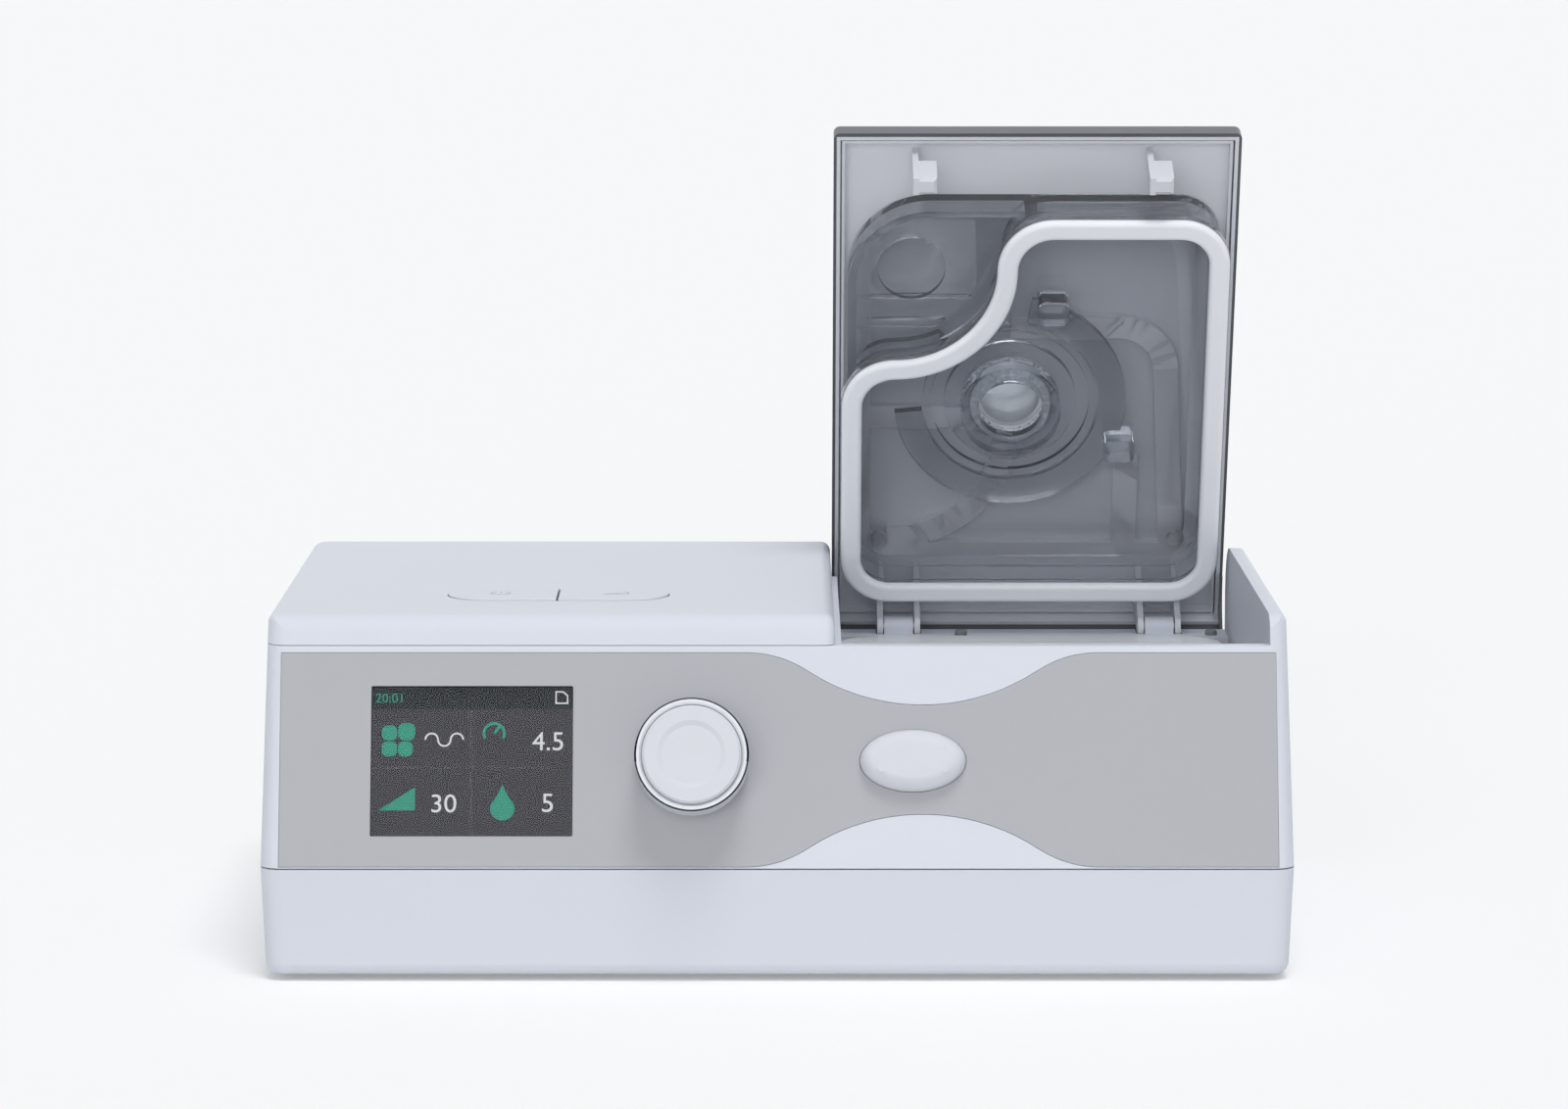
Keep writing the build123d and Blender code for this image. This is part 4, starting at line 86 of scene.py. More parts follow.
def add_step(tree, kind, operation, values):
    """A node that works on one or two values."""
    node = tree.nodes.new(kind)
    node.operation = operation
    for socket, value in zip(node.inputs, values):
        feed(tree, socket, value)
    return node


def add_math(tree, operation, *values):
    return add_step(tree, "ShaderNodeMath", operation, values).outputs["Value"]


def add_vector(tree, operation, *vectors):
    """A vector that comes from one or two others."""
    return add_step(tree, "ShaderNodeVectorMath", operation, vectors).outputs["Vector"]


def add_measure(tree, operation, *vectors):
    """A number that comes from one or two vectors."""
    return add_step(tree, "ShaderNodeVectorMath", operation, vectors).outputs["Value"]


def add_shade(tree, colour, factor):
    """A colour multiplied by a grey factor."""
    node = add_step(tree, "ShaderNodeVectorMath", "SCALE", (colour,))
    feed(tree, node.inputs["Scale"], factor)
    return node.outputs["Vector"]


def add_mix(tree, factor, first, second):
    """The first colour where the factor is 0, and the second where it is 1."""
    mix = tree.nodes.new("ShaderNodeMix")
    mix.data_type = "RGBA"
    feed_all(tree, mix, {"Factor": factor, "A": first, "B": second})
    return mix.outputs["Result"]


def add_noise(tree, coordinates, scale, detail=2.0, roughness=0.5):
    noise = tree.nodes.new("ShaderNodeTexNoise")
    values = {"Vector": coordinates, "Scale": scale, "Detail": detail, "Roughness": roughness}
    feed_all(tree, noise, values)
    return noise.outputs["Fac"]


def add_swing(tree, noise, spread, level):
    """A level that moves up and down with a noise, over the spread."""
    swing = add_math(tree, "SUBTRACT", noise, 0.5)
    return add_math(tree, "ADD", add_math(tree, "MULTIPLY", swing, spread), level)


def own_place(tree):
    """The place on the piece itself, which moves along with it."""
    return tree.nodes.new("ShaderNodeTexCoord").outputs["Object"]


# ---------------------------------------------------------------- surface groups

FLOW_SCALE = 14.0  # broad shading from the way the plastic flowed
HANDLING_SCALE = 55.0  # patches of more and less gloss
LINE_SHADE = 0.2  # how far the lines of drawn metal differ in brightness


def new_surface(name, inputs):
    """A node group that puts out a colour, a roughness and a height; its two end nodes."""
    group = bpy.data.node_groups.new(name, "ShaderNodeTree")
    outputs = {"Colour": "Color", "Roughness": "Float", "Height": "Float"}
    for way, sockets in (("INPUT", inputs), ("OUTPUT", outputs)):
        for label, kind in sockets.items():
            group.interface.new_socket(label, in_out=way, socket_type="NodeSocket" + kind)
    return group, group.nodes.new("NodeGroupInput"), group.nodes.new("NodeGroupOutput")


def moulded_skin_group():
    """Tool-textured plastic: fine pits, faint flow shading and an uneven gloss."""
    inputs = {
        "Colour": "Color",
        "Pit Scale": "Float",
        "Shade Spread": "Float",
        "Gloss": "Float",
        "Gloss Spread": "Float",
    }
    group, start, end = new_surface("moulded_skin", inputs)
    given = start.outputs
    place = own_place(group)
    pits = add_noise(group, place, given["Pit Scale"], detail=1.0)
    flow = add_noise(group, place, FLOW_SCALE, detail=3.0)
    handling = add_noise(group, place, HANDLING_SCALE, detail=4.0, roughness=0.6)
    shade = add_swing(group, flow, given["Shade Spread"], 1.0)
    gloss = add_swing(group, handling, given["Gloss Spread"], given["Gloss"])
    colour = add_shade(group, given["Colour"], shade)
    feed_all(group, end, {"Colour": colour, "Roughness": gloss, "Height": pits})
    return group


def drawn_metal_group():
    """Metal with fine lines along one axis and an uneven polish."""
    inputs = {
        "Colour": "Color",
        "Line Scale": "Vector",
        "Polish": "Float",
        "Polish Spread": "Float",
    }
    group, start, end = new_surface("drawn_metal", inputs)
    given = start.outputs
    stretched = add_vector(group, "MULTIPLY", own_place(group), given["Line Scale"])
    lines = add_noise(group, stretched, 1.0, detail=3.0)
    shade = add_swing(group, lines, LINE_SHADE, 1.0)
    polish = add_swing(group, lines, given["Polish Spread"], given["Polish"])
    colour = add_shade(group, given["Colour"], shade)
    feed_all(group, end, {"Colour": colour, "Roughness": polish, "Height": lines})
    return group


MOULDED_SKIN = moulded_skin_group()
DRAWN_METAL = drawn_metal_group()

# ---------------------------------------------------------------- materials

LIGHT_THROUGH = 0.62  # share of a lamp's light that clear plastic lets through
BODY_TINT = (0.8, 0.82, 0.85, 1.0)  # of the light that has gone through clear plastic
METAL_RELIEF = 0.005 * MM
RING_RELIEF = 0.003 * MM
RING_SIDE_ROUGH = 0.25  # how much duller the ring's side is than its front
SCREEN_FACE = (0.01, 0.01, 0.01, 1.0)
GLOW_SCALE = 60.0
GLOW_SPREAD = 0.08


def linear(red, green, blue):
    """A display colour, 0 to 255, as the linear colour that a shader takes."""
    channels = []
    for value in (red, green, blue):
        value /= 255
        channels.append(value / 12.92 if value <= 0.04045 else ((value + 0.055) / 1.055) ** 2.4)
    return (*channels, 1.0)


def new_material(name):
    material = bpy.data.materials.new(name)
    material.use_nodes = True
    tree = material.node_tree
    tree.nodes.clear()
    output = tree.nodes.new("ShaderNodeOutputMaterial")
    shader = tree.nodes.new("ShaderNodeBsdfPrincipled")
    tree.links.new(shader.outputs["BSDF"], output.inputs["Surface"])
    return material, tree, shader


def add_surface(tree, shader, group, values, relief=None):
    """A surface group that gives a shader its colour and roughness, and its relief if any."""
    surface = tree.nodes.new("ShaderNodeGroup")
    surface.node_tree = group
    feed_all(tree, surface, values)
    made = surface.outputs
    feed_all(tree, shader, {"Base Color": made["Colour"], "Roughness": made["Roughness"]})
    if relief is not None:
        bump = tree.nodes.new("ShaderNodeBump")
        feed_all(tree, bump, {"Distance": relief, "Strength": 1.0, "Height": made["Height"]})
        feed(tree, shader.inputs["Normal"], bump.outputs["Normal"])
    return surface


def add_plastic(
    tree, shader, colour, pits=0.02 * MM, pit_scale=1800.0, gloss=0.45, spread=0.03
):
    values = {
        "Colour": colour,
        "Pit Scale": pit_scale,
        "Shade Spread": spread,
        "Gloss": gloss,
        "Gloss Spread": 0.12,
    }
    add_surface(tree, shader, MOULDED_SKIN, values, pits)


def moulded_plastic(name, colour, **skin):
    material, tree, shader = new_material(name)
    add_plastic(tree, shader, colour, **skin)
    return material


def two_tone_plastic(name, colour, inner_colour, way, depth, **skin):
    """A moulding that shows a second colour on the faces that look one way, below a depth."""
    material, tree, shader = new_material(name)
    coordinates = tree.nodes.new("ShaderNodeTexCoord").outputs
    looks = add_measure(tree, "DOT_PRODUCT", coordinates["Normal"], way)
    along = add_measure(tree, "DOT_PRODUCT", coordinates["Object"], way)
    facing = add_math(tree, "GREATER_THAN", looks, 0.5)
    deep = add_math(tree, "LESS_THAN", along, depth)
    inside = add_math(tree, "MULTIPLY", facing, deep)
    add_plastic(tree, shader, add_mix(tree, inside, colour, inner_colour), **skin)
    return material


def worked_metal(name, colour, lines, polish):
    material, tree, shader = new_material(name)
    feed(tree, shader.inputs["Metallic"], 1.0)
    values = {"Colour": colour, "Line Scale": lines, "Polish": polish, "Polish Spread": 0.15}
    add_surface(tree, shader, DRAWN_METAL, values, METAL_RELIEF)
    return material


def trimmed_ring(name, node, edge_from, front_from, painted_seam_shade_at, colours):
    """A pale ring with a chromed front. A painted grey line round its side is the painted shade of the seam
    between ring and knob base, and a painted dark line on the front's outer bevel is the painted shade of a gap
    and the painted reflection of dark surroundings.
    """
    material, tree, shader = new_material(name)
    place = add_vector(tree, "SUBTRACT", own_place(tree), middle(node))
    height = add_measure(tree, "DOT_PRODUCT", place, FACE_OUT)
    from_axis = add_measure(tree, "LENGTH", add_vector(tree, "CROSS_PRODUCT", place, FACE_OUT))
    front = add_math(tree, "GREATER_THAN", height, front_from)
    outside = add_math(tree, "GREATER_THAN", from_axis, edge_from)
    # painted shade of the seam between ring and knob base: a grey line round the side
    away = add_math(tree, "ABSOLUTE", add_math(tree, "SUBTRACT", height, painted_seam_shade_at))
    in_painted_seam_shade = add_math(tree, "LESS_THAN", away, RING_PAINTED_SEAM_HALF)
    side = add_mix(tree, in_painted_seam_shade, colours["side"], colours["painted_seam_shade"])
    # painted dark line on the chrome's outer bevel: painted shade of a gap and painted reflection of dark
    # surroundings
    on_edge = add_math(tree, "MULTIPLY", front, outside)
    bright = add_mix(tree, on_edge, colours["front"], colours["edge"])
    values = {
        "Colour": add_mix(tree, front, side, bright),
        "Line Scale": (300.0, 300.0, 300.0),
        "Polish": 0.1,
        "Polish Spread": 0.04,
    }
    metal = add_surface(tree, shader, DRAWN_METAL, values, RING_RELIEF)
    dull = add_math(tree, "MULTIPLY", add_math(tree, "SUBTRACT", 1.0, front), RING_SIDE_ROUGH)
    roughness = add_math(tree, "ADD", metal.outputs["Roughness"], dull)
    feed_all(tree, shader, {"Roughness": roughness, "Metallic": front})
    return material


def clear_plastic(name, colour, gloss, index=1.46, clarity=1.0, depth_shade=None):
    """Transparent moulding with a faintly uneven gloss, which lets most of the light through."""
    material, tree, shader = new_material(name)
    if depth_shade is not None:
        body = tree.nodes.new("ShaderNodeVolumeAbsorption")
        feed_all(tree, body, {"Color": BODY_TINT, "Density": depth_shade})
        tree.links.new(body.outputs["Volume"], tree.nodes["Material Output"].inputs["Volume"])
    lamp_ray = tree.nodes.new("ShaderNodeLightPath").outputs["Is Shadow Ray"]
    let_through = add_math(tree, "MULTIPLY", lamp_ray, LIGHT_THROUGH)
    alpha = add_math(tree, "SUBTRACT", 1.0, let_through)
    feed_all(tree, shader, {"Transmission Weight": clarity, "IOR": index, "Alpha": alpha})
    values = {
        "Colour": colour,
        "Pit Scale": 300.0,
        "Shade Spread": 0.04,
        "Gloss": gloss,
        "Gloss Spread": 0.03,
    }
    add_surface(tree, shader, MOULDED_SKIN, values)
    return material


def screen_light(name, colour, strength):
    """A lit part of the display: dark until its own light comes through."""
    material, tree, shader = new_material(name)
    glow = add_swing(tree, add_noise(tree, own_place(tree), GLOW_SCALE), GLOW_SPREAD, 1.0)
    values = {
        "Base Color": SCREEN_FACE,
        "Roughness": 0.6,
        "Specular IOR Level": 0.0,
        "Emission Color": add_shade(tree, colour[:3], glow),
        "Emission Strength": strength,
    }
    feed_all(tree, shader, values)
    return material


DARK_TONE = linear(84, 86, 90)
PALE_LINER_TONE = linear(196, 198, 204)
LID_SKIN_DEPTH = 4.0 * MM  # the pale inside begins this far below the lid's outer face
LID_TOP = furthest("lid_skin", LID_OUT)
RING_LOW, RING_HIGH = corners("knob_ring")
RING_R = (RING_HIGH - RING_LOW).x / 2
RING_FRONT = furthest("knob_ring", FACE_OUT) - middle("knob_ring").dot(FACE_OUT)
# width of the painted dark line (painted shade and reflection) on the chrome's outer bevel
RING_PAINTED_LINE_WIDTH = 0.48 * MM
RING_CHROME_DEPTH = 0.9 * MM
RING_PAINTED_SEAM_DEPTH = 6.5 * MM  # behind the ring's front: where the painted seam shade runs round the side
RING_PAINTED_SEAM_HALF = 0.3 * MM
RING_COLOURS = {
    "side": linear(212, 215, 221),
    # painted shade of the seam between ring and knob base
    "painted_seam_shade": linear(120, 123, 128),
    "front": (0.9, 0.91, 0.93, 1.0),
    # painted shade and painted reflection: a near-black line on the chrome's outer bevel
    "edge": (0.05, 0.06, 0.06, 1.0),
}

SLOT_MATERIALS = {
    "case_plastic": moulded_plastic("case_plastic", linear(216, 220, 229), gloss=0.42),
    "panel_plastic": moulded_plastic("panel_plastic", linear(177, 178, 183), gloss=0.38),
    "white_plastic": moulded_plastic(
        "white_plastic", linear(215, 217, 223), pits=0.01 * MM, gloss=0.34
    ),
    "dark_plastic": moulded_plastic("dark_plastic", DARK_TONE, gloss=0.36),
    "inner_plastic": moulded_plastic("inner_plastic", linear(190, 192, 196), gloss=0.5),
    "window_glass": clear_plastic("window_glass", (1.0, 1.0, 1.0, 1.0), gloss=0.02, index=1.2),
    "display_face": moulded_plastic("display_face", linear(30, 32, 36), gloss=0.25),
    "smoke_clear": clear_plastic(
        "smoke_clear", (0.87, 0.88, 0.9, 1.0), gloss=0.01, clarity=0.96, depth_shade=170.0
    ),
    "tub_pale": moulded_plastic("tub_pale", linear(226, 228, 233), gloss=0.3),
    "pale_silicone": moulded_plastic(
        "pale_silicone", linear(240, 242, 246), pit_scale=500.0, gloss=0.38
    ),
    "grey_rubber": moulded_plastic("grey_rubber", linear(120, 122, 126), gloss=0.6),
    "black_rubber": moulded_plastic(
        "black_rubber", linear(34, 34, 36), gloss=0.65, spread=0.2
    ),
    "steel": worked_metal(
        "plain_steel", (0.58, 0.58, 0.59, 1.0), lines=(2000.0, 60.0, 2000.0), polish=0.3
    ),
    "bright_chrome": trimmed_ring(
        "bright_chrome",
        "knob_ring",
        edge_from=RING_R - RING_PAINTED_LINE_WIDTH,
        front_from=RING_FRONT - RING_CHROME_DEPTH,
        painted_seam_shade_at=RING_FRONT - RING_PAINTED_SEAM_DEPTH,
        colours=RING_COLOURS,
    ),
    "heater_aluminium": worked_metal(
        "heater_aluminium", (0.74, 0.74, 0.75, 1.0), lines=(900.0, 900.0, 60.0), polish=0.35
    ),
    "circuit_board": moulded_plastic(
        "circuit_board", linear(26, 96, 62), gloss=0.3, spread=0.4
    ),
    "filter_fleece": moulded_plastic(
        "filter_fleece", linear(228, 230, 234), pits=0.4 * MM, gloss=0.95
    ),
    "grey_foam": moulded_plastic(
        "muffler_foam", linear(70, 70, 74), pits=0.6 * MM, pit_scale=900.0, gloss=0.95
    ),
}
NODE_MATERIALS = {
    "lid_skin": two_tone_plastic(
        "lid_shell", DARK_TONE, PALE_LINER_TONE, -LID_OUT, LID_SKIN_DEPTH - LID_TOP, gloss=0.36
    ),
    "outlet_elbow": clear_plastic(
        "frosted_clear", (0.62, 0.65, 0.7, 1.0), gloss=0.35, clarity=0.6
    ),
}


def dress_nodes():
    """Each CAD node takes the material of its slot, unless it has one of its own."""
    for part in frame["record"]["subparts"]:
        node = part["node"]
        material = NODE_MATERIALS.get(node, SLOT_MATERIALS[part["material_slot"]])
        NODES[node].data.materials.clear()
        NODES[node].data.materials.append(material)


dress_nodes()

# ---------------------------------------------------------------- flat plates

ARC_STEPS = 24
CORNER_STEPS = 8
DROP_STEPS = 28
DROP_FOOT = (-18, 198)  # degrees of a drop's round foot
DROP_WAIST = 0.47  # half its width at mid-height, as a share of the foot's radius


def add_piece(name, mesh, body, material):
    piece = bpy.data.objects.new(name, mesh)
    bpy.context.scene.collection.objects.link(piece)
    mesh.materials.clear()
    mesh.materials.append(material)
    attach(piece, body)
    return piece


def add_prism(shape, outline, place, low, high):
    """A closed plate from an outline, between two heights of the frame that place gives."""
    bottom = [shape.verts.new(place(x, y, low)) for x, y in outline]
    top = [shape.verts.new(place(x, y, high)) for x, y in outline]
    shape.faces.new(bottom)
    shape.faces.new(top)
    for index, corner in enumerate(bottom):
        following = (index + 1) % len(outline)
        shape.faces.new((corner, bottom[following], top[following], top[index]))


def make_plates(name, outlines, place, low, high, body, slot, material):
    """One piece of flat plates that share their height."""
    shape = bmesh.new()
    for outline in outlines:
        add_prism(shape, outline, place, low, high)
    bmesh.ops.recalc_face_normals(shape, faces=shape.faces)
    bmesh.ops.triangulate(shape, faces=shape.faces)
    mesh = bpy.data.meshes.new(name)
    shape.to_mesh(mesh)
    shape.free()
    return add_piece(name, mesh, body, material)


def box_outline(left, top, right, bottom):
    return [(left, top), (right, top), (right, bottom), (left, bottom)]


def arc_points(x, y, radius, first, last, steps=ARC_STEPS):
    """Points of an arc, with its angles in degrees."""
    points = []
    for step in range(steps + 1):
        angle = math.radians(first + (last - first) * step / steps)
        points.append((x + radius * math.cos(angle), y + radius * math.sin(angle)))
    return points


def rounded_outline(left, top, right, bottom, radius):
    centres = box_outline(right - radius, bottom - radius, left + radius, top + radius)
    outline = []
    for quarter, (x, y) in enumerate(centres):
        outline += arc_points(x, y, radius, 90 * quarter, 90 * quarter + 90, CORNER_STEPS)
    return outline


def band_outline(x, y, radius, width, first, last):
    """A bent stroke along an arc."""
    outer = arc_points(x, y, radius + width / 2, first, last)
    inner = arc_points(x, y, radius - width / 2, first, last)
    return outer + inner[::-1]


def stroke_outline(start, end, width):
    """A straight stroke between two points."""
    start, end = Vector(start), Vector(end)
    run = end - start
    side = Vector((-run.y, run.x)).normalized() * width / 2
    return [tuple(point) for point in (start + side, end + side, end - side, start - side)]


def drop_outline(x, top, bottom, radius):
    """A water drop: a round foot that two slightly hollow sides bring to a point."""
    foot_y = bottom - radius
    waist_y = (top + foot_y) / 2
    waist = radius * DROP_WAIST
    foot = arc_points(x, foot_y, radius, *DROP_FOOT, DROP_STEPS)
    return foot + [(x - waist, waist_y), (x, top), (x + waist, waist_y)]


# ---------------------------------------------------------------- display picture

# the picture's own places are in millimetres, from its top left corner
PICTURE_BORDER = 3.5 * MM  # display module to its picture
PICTURE_WIDTH = 57.6
PICTURE_HEIGHT = 43.2
PICTURE_LEFT = corners("lcd_module")[0].x + PICTURE_BORDER
PICTURE_TOP = furthest("lcd_module", FACE_UP) - PICTURE_BORDER
PICTURE_FRONT = furthest("lcd_module", FACE_OUT)
HEADER_HEIGHT = 6.4
COLUMN_LINE = 28.5
ROW_LINE = 23.3
LINE_HALF = 0.12
TILE_LIFT = 0.02
TILE_THICK = 0.05
SIGN_LIFT = TILE_LIFT + TILE_THICK + 0.01
SIGN_THICK = 0.06

HEADER_LIGHT = screen_light("header_light", linear(46, 58, 70), strength=0.26)
TILE_LIGHT = screen_light("tile_light", linear(76, 75, 86), strength=0.46)
GREEN_LIGHT = screen_light("green_light", linear(40, 146, 124), strength=0.9)
WHITE_LIGHT = screen_light("white_light", linear(216, 217, 222), strength=0.9)

# left, top, right, bottom and corner radius of four leaves, one of them larger
LEAVES = (
    (3.0, 11.1, 7.3, 15.4, 1.6),
    (7.6, 10.4, 12.5, 15.4, 1.9),
    (3.0, 15.7, 7.3, 20.0, 1.6),
    (7.6, 15.7, 11.8, 20.0, 1.6),
)
WAVE_CENTRE = (17.2, 15.2)  # of its first half turn
WAVE_R = 1.8
WAVE_WIDTH = 0.5
WAVE_STARTS = (180, 0, 180)  # degrees at which each half turn begins
GAUGE_CENTRE = (35.0, 13.4)
GAUGE_HAND = (36.7, 11.2)
GAUGE_R = 2.9
GAUGE_WIDTH = 0.8
GAUGE_SWEEP = (150, 390)
RAMP = ((2.2, 35.5), (12.6, 35.5), (12.6, 28.8))
DROP = {"x": 37.5, "top": 28.1, "bottom": 38.4, "radius": 3.5}
CARD_STROKES = (
    ((52.6, 4.6), (52.6, 1.2)),
    ((52.4, 1.4), (54.6, 1.4)),
    ((54.5, 1.3), (56.0, 2.6)),
    ((55.9, 2.4), (55.9, 4.9)),
    ((52.4, 4.7), (56.1, 4.7)),
)
CARD_WIDTH = 0.4
# name, figures, the box they fill as left, top, right and bottom, and their light
FIGURES = (
    ("figures_time", "20:01", (1.1, 1.9, 8.7, 4.5), GREEN_LIGHT),
    ("figures_pressure", "4.5", (45.9, 13.0, 54.7, 18.3), WHITE_LIGHT),
    ("figures_minutes", "30", (17.3, 30.9, 24.4, 36.1), WHITE_LIGHT),
    ("figures_level", "5", (48.8, 30.7, 51.9, 36.0), WHITE_LIGHT),
)
FIGURE_STEPS = 6


def picture_point(x, y, lift):
    """A point of the display picture, with its lift off the module in millimetres too."""
    return (
        RIGHT * (PICTURE_LEFT + x * MM)
        + FACE_UP * (PICTURE_TOP - y * MM)
        + FACE_OUT * (PICTURE_FRONT + lift * MM)
    )


def make_tiles(name, outlines, material):
    heights = (TILE_LIFT, TILE_LIFT + TILE_THICK)
    make_plates(name, outlines, picture_point, *heights, "casing", "display_face", material)


def make_sign(name, outlines, material):
    heights = (SIGN_LIFT, SIGN_LIFT + SIGN_THICK)
    make_plates(name, outlines, picture_point, *heights, "casing", "display_face", material)


def make_figures(name, text, box, material):
    """Plain figures, drawn to fill a box of the picture."""
    left, top, right, bottom = box
    curve = bpy.data.curves.new(name, "FONT")
    curve.body = text
    curve.resolution_u = FIGURE_STEPS
    curve.extrude = 1.0  # any depth: a point's side alone gives its height later on
    writer = bpy.data.objects.new(name + "_curve", curve)
    bpy.context.scene.collection.objects.link(writer)
    mesh = bpy.data.meshes.new_from_object(writer)
    bpy.data.objects.remove(writer)
    xs = [vertex.co.x for vertex in mesh.vertices]
    ys = [vertex.co.y for vertex in mesh.vertices]
    wide = (right - left) / (max(xs) - min(xs))
    tall = (bottom - top) / (max(ys) - min(ys))
    for vertex in mesh.vertices:
        x = left + (vertex.co.x - min(xs)) * wide
        y = bottom - (vertex.co.y - min(ys)) * tall
        lift = SIGN_LIFT + (SIGN_THICK if vertex.co.z > 0 else 0.0)
        vertex.co = picture_point(x, y, lift)
    add_piece(name, mesh, "casing", material)


def wave_outlines():
    x, y = WAVE_CENTRE
    return [
        band_outline(x + 2 * WAVE_R * index, y, WAVE_R, WAVE_WIDTH, start, start + 180)
        for index, start in enumerate(WAVE_STARTS)
    ]


def gauge_outlines():
    return [
        band_outline(*GAUGE_CENTRE, GAUGE_R, GAUGE_WIDTH, *GAUGE_SWEEP),
        stroke_outline(GAUGE_CENTRE, GAUGE_HAND, GAUGE_WIDTH),
    ]


def make_picture():
    header = box_outline(0.0, 0.0, PICTURE_WIDTH, HEADER_HEIGHT)
    columns = ((0.0, COLUMN_LINE - LINE_HALF), (COLUMN_LINE + LINE_HALF, PICTURE_WIDTH))
    rows = ((HEADER_HEIGHT, ROW_LINE - LINE_HALF), (ROW_LINE + LINE_HALF, PICTURE_HEIGHT))
    tiles = [
        box_outline(left, top, right, bottom) for left, right in columns for top, bottom in rows
    ]
    make_tiles("picture_header", [header], HEADER_LIGHT)
    make_tiles("picture_tiles", tiles, TILE_LIGHT)
    make_sign("picture_leaves", [rounded_outline(*leaf) for leaf in LEAVES], GREEN_LIGHT)
    make_sign("picture_wave", wave_outlines(), WHITE_LIGHT)
    make_sign("picture_gauge", gauge_outlines(), GREEN_LIGHT)
    make_sign("picture_ramp", [RAMP], GREEN_LIGHT)
    make_sign("picture_drop", [drop_outline(**DROP)], GREEN_LIGHT)
    card = [stroke_outline(start, end, CARD_WIDTH) for start, end in CARD_STROKES]
    make_sign("picture_card", card, WHITE_LIGHT)
    for name, text, box, material in FIGURES:
        make_figures(name, text, box, material)


# ---------------------------------------------------------------- signs on the top buttons

BUTTON_SIGN_R = 2.8
BUTTON_SIGN_WIDTH = 0.45
BUTTON_SIGN_THICK = 0.06
BUTTON_INK = moulded_plastic("button_ink", linear(176, 181, 190), gloss=0.5)
POWER_STROKE = ((0.0, 1.0), (0.0, 3.6))
POWER_SWEEP = (120, 420)  # degrees of the open ring round the stroke
RAMP_STROKES = (
    ((-3.6, -2.2), (3.4, -2.2)),
    ((3.4, -2.4), (3.4, 2.4)),
    ((-3.6, -2.2), (3.5, 2.3)),
)


def button_top(node):
    """Gives places on a button's top, in millimetres from its middle."""
    centre = middle(node)
    top = corners(node)[1].z

    def place(x, y, lift):
        return Vector((centre.x + x * MM, centre.y + y * MM, top + lift * MM))

    return place


def make_button_sign(name, node, outlines):
    heights = (-BUTTON_SIGN_THICK, BUTTON_SIGN_THICK)
    make_plates(name, outlines, button_top(node), *heights, node, "case_plastic", BUTTON_INK)


def make_button_signs():
    power = [
        band_outline(0.0, 0.0, BUTTON_SIGN_R, BUTTON_SIGN_WIDTH, *POWER_SWEEP),
        stroke_outline(*POWER_STROKE, BUTTON_SIGN_WIDTH),
    ]
    ramp = [stroke_outline(start, end, BUTTON_SIGN_WIDTH) for start, end in RAMP_STROKES]
    make_button_sign("power_sign", "power_button", power)
    make_button_sign("ramp_sign", "ramp_button", ramp)


make_picture()
make_button_signs()

# ---------------------------------------------------------------- stage, lights and camera

FLOOR_HALF = 40.0
FLOOR_COLOUR = (0.75, 0.75, 0.75, 1.0)
FLOOR_GLOW = 0.26  # lifts the seen floor to a pale studio sweep
FLOOR_BOUNCE = (0.8, 0.8, 0.8, 1.0)  # what the floor sends back to the machine
WORLD_COLOUR = (0.96, 0.985, 1.02, 1.0)
WORLD_LIGHT = 0.44
WORLD_SEEN = 0.93
SIDE_FROM = 0.8  # how far sideways a ray looks where the surroundings begin to darken
SIDE_TO = 0.98
SIDE_SHADE = 0.9
KEY_WAY = (-0.12, 0.3, -1.0)
KEY_LIGHT = 1.38
KEY_ANGLE = 24.0
FRONT_WAY = (0.15, 1.0, -0.12)
FRONT_LIGHT = 1.05
FRONT_ANGLE = 40.0
CAMERA_LENS = 129.96
CAMERA_SENSOR = 36.0
CAMERA_REACH = 100.0
CAMERA_PLACE = (1.91 * MM, -1680.7 * MM, 328.65 * MM)
CAMERA_PITCH = 90 - 7.42  # degrees up from straight down


def add_seen(tree):
    """1 for what the camera, metal and glass see, and 0 for the light on the machine."""
    ray = tree.nodes.new("ShaderNodeLightPath").outputs
    seen = add_math(tree, "MAXIMUM", ray["Is Camera Ray"], ray["Is Glossy Ray"])
    return add_math(tree, "MAXIMUM", seen, ray["Is Transmission Ray"])


def make_floor():
    mesh = bpy.data.meshes.new("floor")
    shape = bmesh.new()
    bmesh.ops.create_grid(shape, x_segments=1, y_segments=1, size=FLOOR_HALF)
    shape.to_mesh(mesh)
    shape.free()
    floor = bpy.data.objects.new("floor", mesh)
    bpy.context.scene.collection.objects.link(floor)
    material, tree, shader = new_material("pale_floor")
    seen = add_seen(tree)
    values = {
        "Base Color": add_mix(tree, seen, FLOOR_BOUNCE, FLOOR_COLOUR),
        "Roughness": 1.0,
        "Specular IOR Level": 0.0,
        "Emission Color": (1.0, 1.0, 1.0, 1.0),
        "Emission Strength": add_math(tree, "MULTIPLY", seen, FLOOR_GLOW),
    }
    feed_all(tree, shader, values)
    mesh.materials.append(material)


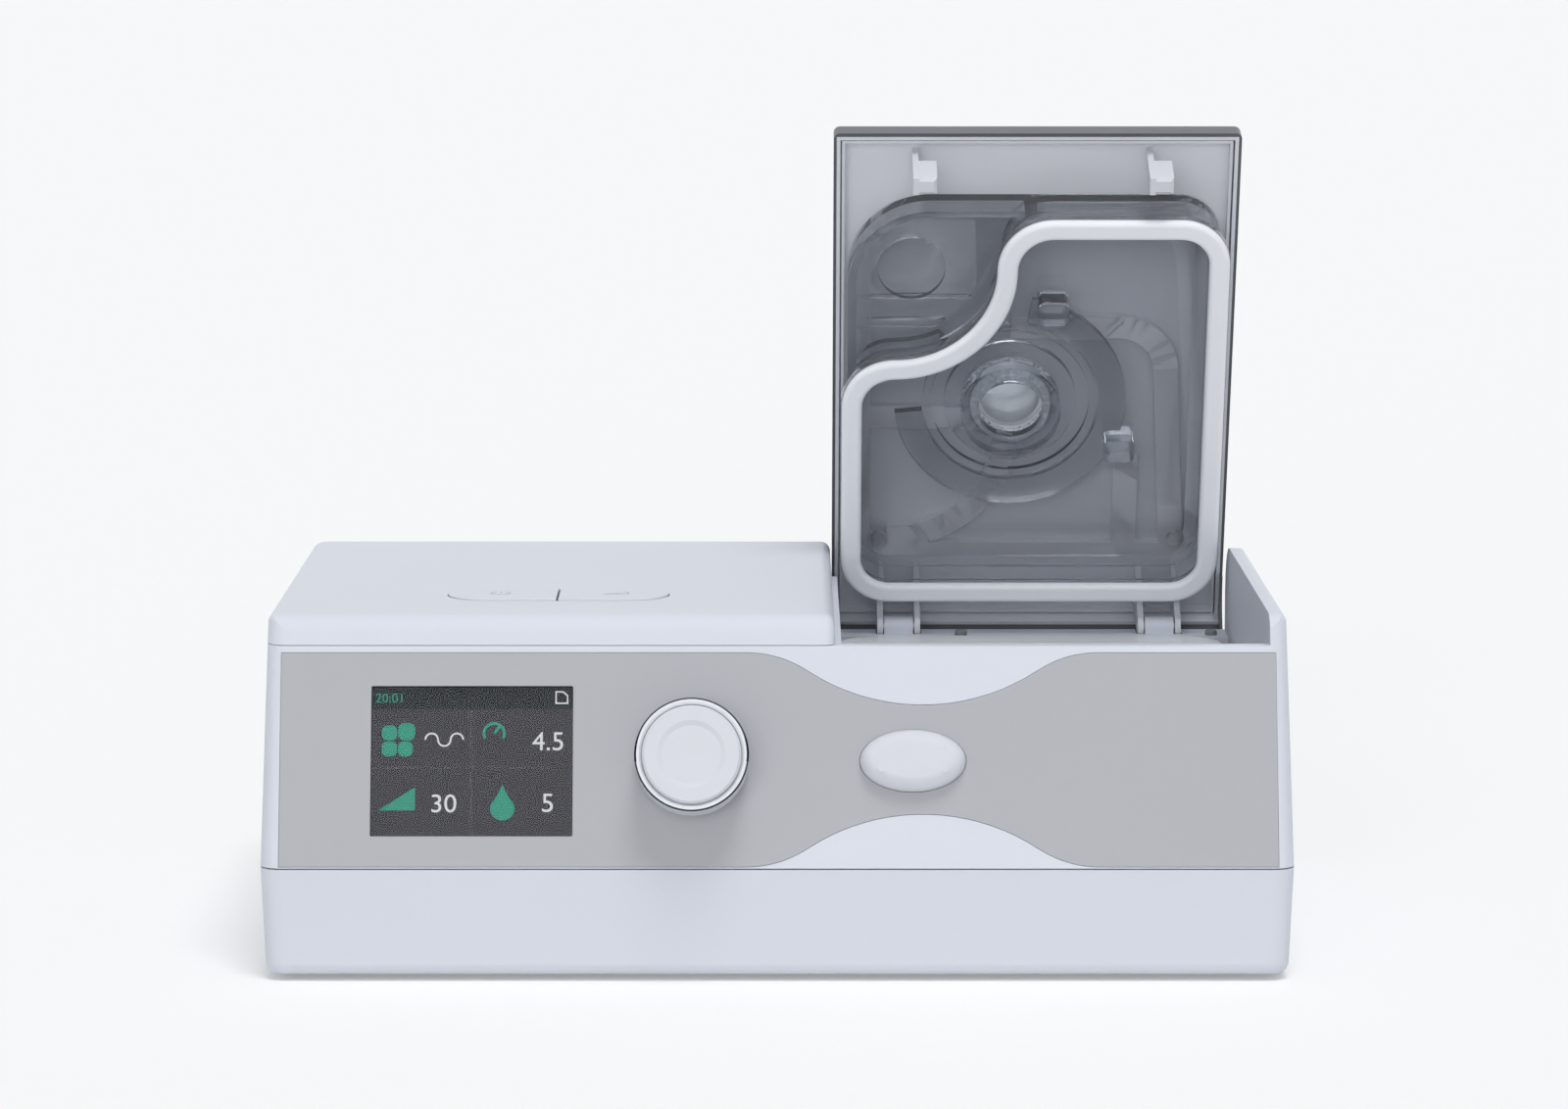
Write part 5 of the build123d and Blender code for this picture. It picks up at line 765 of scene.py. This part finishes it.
def make_world():
    """Pale surroundings, darker at both sides, as soft studio walls are."""
    world = bpy.data.worlds.new("studio")
    world.use_nodes = True
    tree = world.node_tree
    axes = tree.nodes.new("ShaderNodeSeparateXYZ")
    feed(tree, axes.inputs["Vector"], tree.nodes.new("ShaderNodeTexCoord").outputs["Generated"])
    side = tree.nodes.new("ShaderNodeMapRange")
    side.interpolation_type = "SMOOTHSTEP"
    sideways = {
        "Value": add_math(tree, "ABSOLUTE", axes.outputs["X"]),
        "From Min": SIDE_FROM,
        "From Max": SIDE_TO,
        "To Min": 1.0,
        "To Max": 1.0 - SIDE_SHADE,
    }
    feed_all(tree, side, sideways)
    seen = add_seen(tree)
    lit = add_math(tree, "MULTIPLY", add_math(tree, "SUBTRACT", 1.0, seen), WORLD_LIGHT)
    shown = add_math(tree, "MULTIPLY", seen, WORLD_SEEN)
    shown = add_math(tree, "MULTIPLY", shown, side.outputs["Result"])
    strength = add_math(tree, "ADD", lit, shown)
    feed_all(tree, tree.nodes["Background"], {"Color": WORLD_COLOUR, "Strength": strength})
    bpy.context.scene.world = world


def make_sun(name, direction, strength, angle):
    light = bpy.data.lights.new(name, "SUN")
    light.energy = strength
    light.angle = math.radians(angle)
    lamp = bpy.data.objects.new(name, light)
    lamp.visible_glossy = False
    lamp.rotation_euler = Vector(direction).to_track_quat("-Z", "Y").to_euler()
    bpy.context.scene.collection.objects.link(lamp)


def make_camera():
    camera = bpy.data.cameras.new("camera")
    camera.lens = CAMERA_LENS
    camera.sensor_width = CAMERA_SENSOR
    camera.clip_end = CAMERA_REACH
    holder = bpy.data.objects.new("camera", camera)
    holder.location = CAMERA_PLACE
    holder.rotation_euler = (math.radians(CAMERA_PITCH), 0.0, 0.0)
    bpy.context.scene.collection.objects.link(holder)
    bpy.context.scene.camera = holder


make_floor()
make_world()
make_sun("key", KEY_WAY, KEY_LIGHT, KEY_ANGLE)
make_sun("front", FRONT_WAY, FRONT_LIGHT, FRONT_ANGLE)
make_camera()
bpy.context.scene.view_settings.view_transform = "Standard"
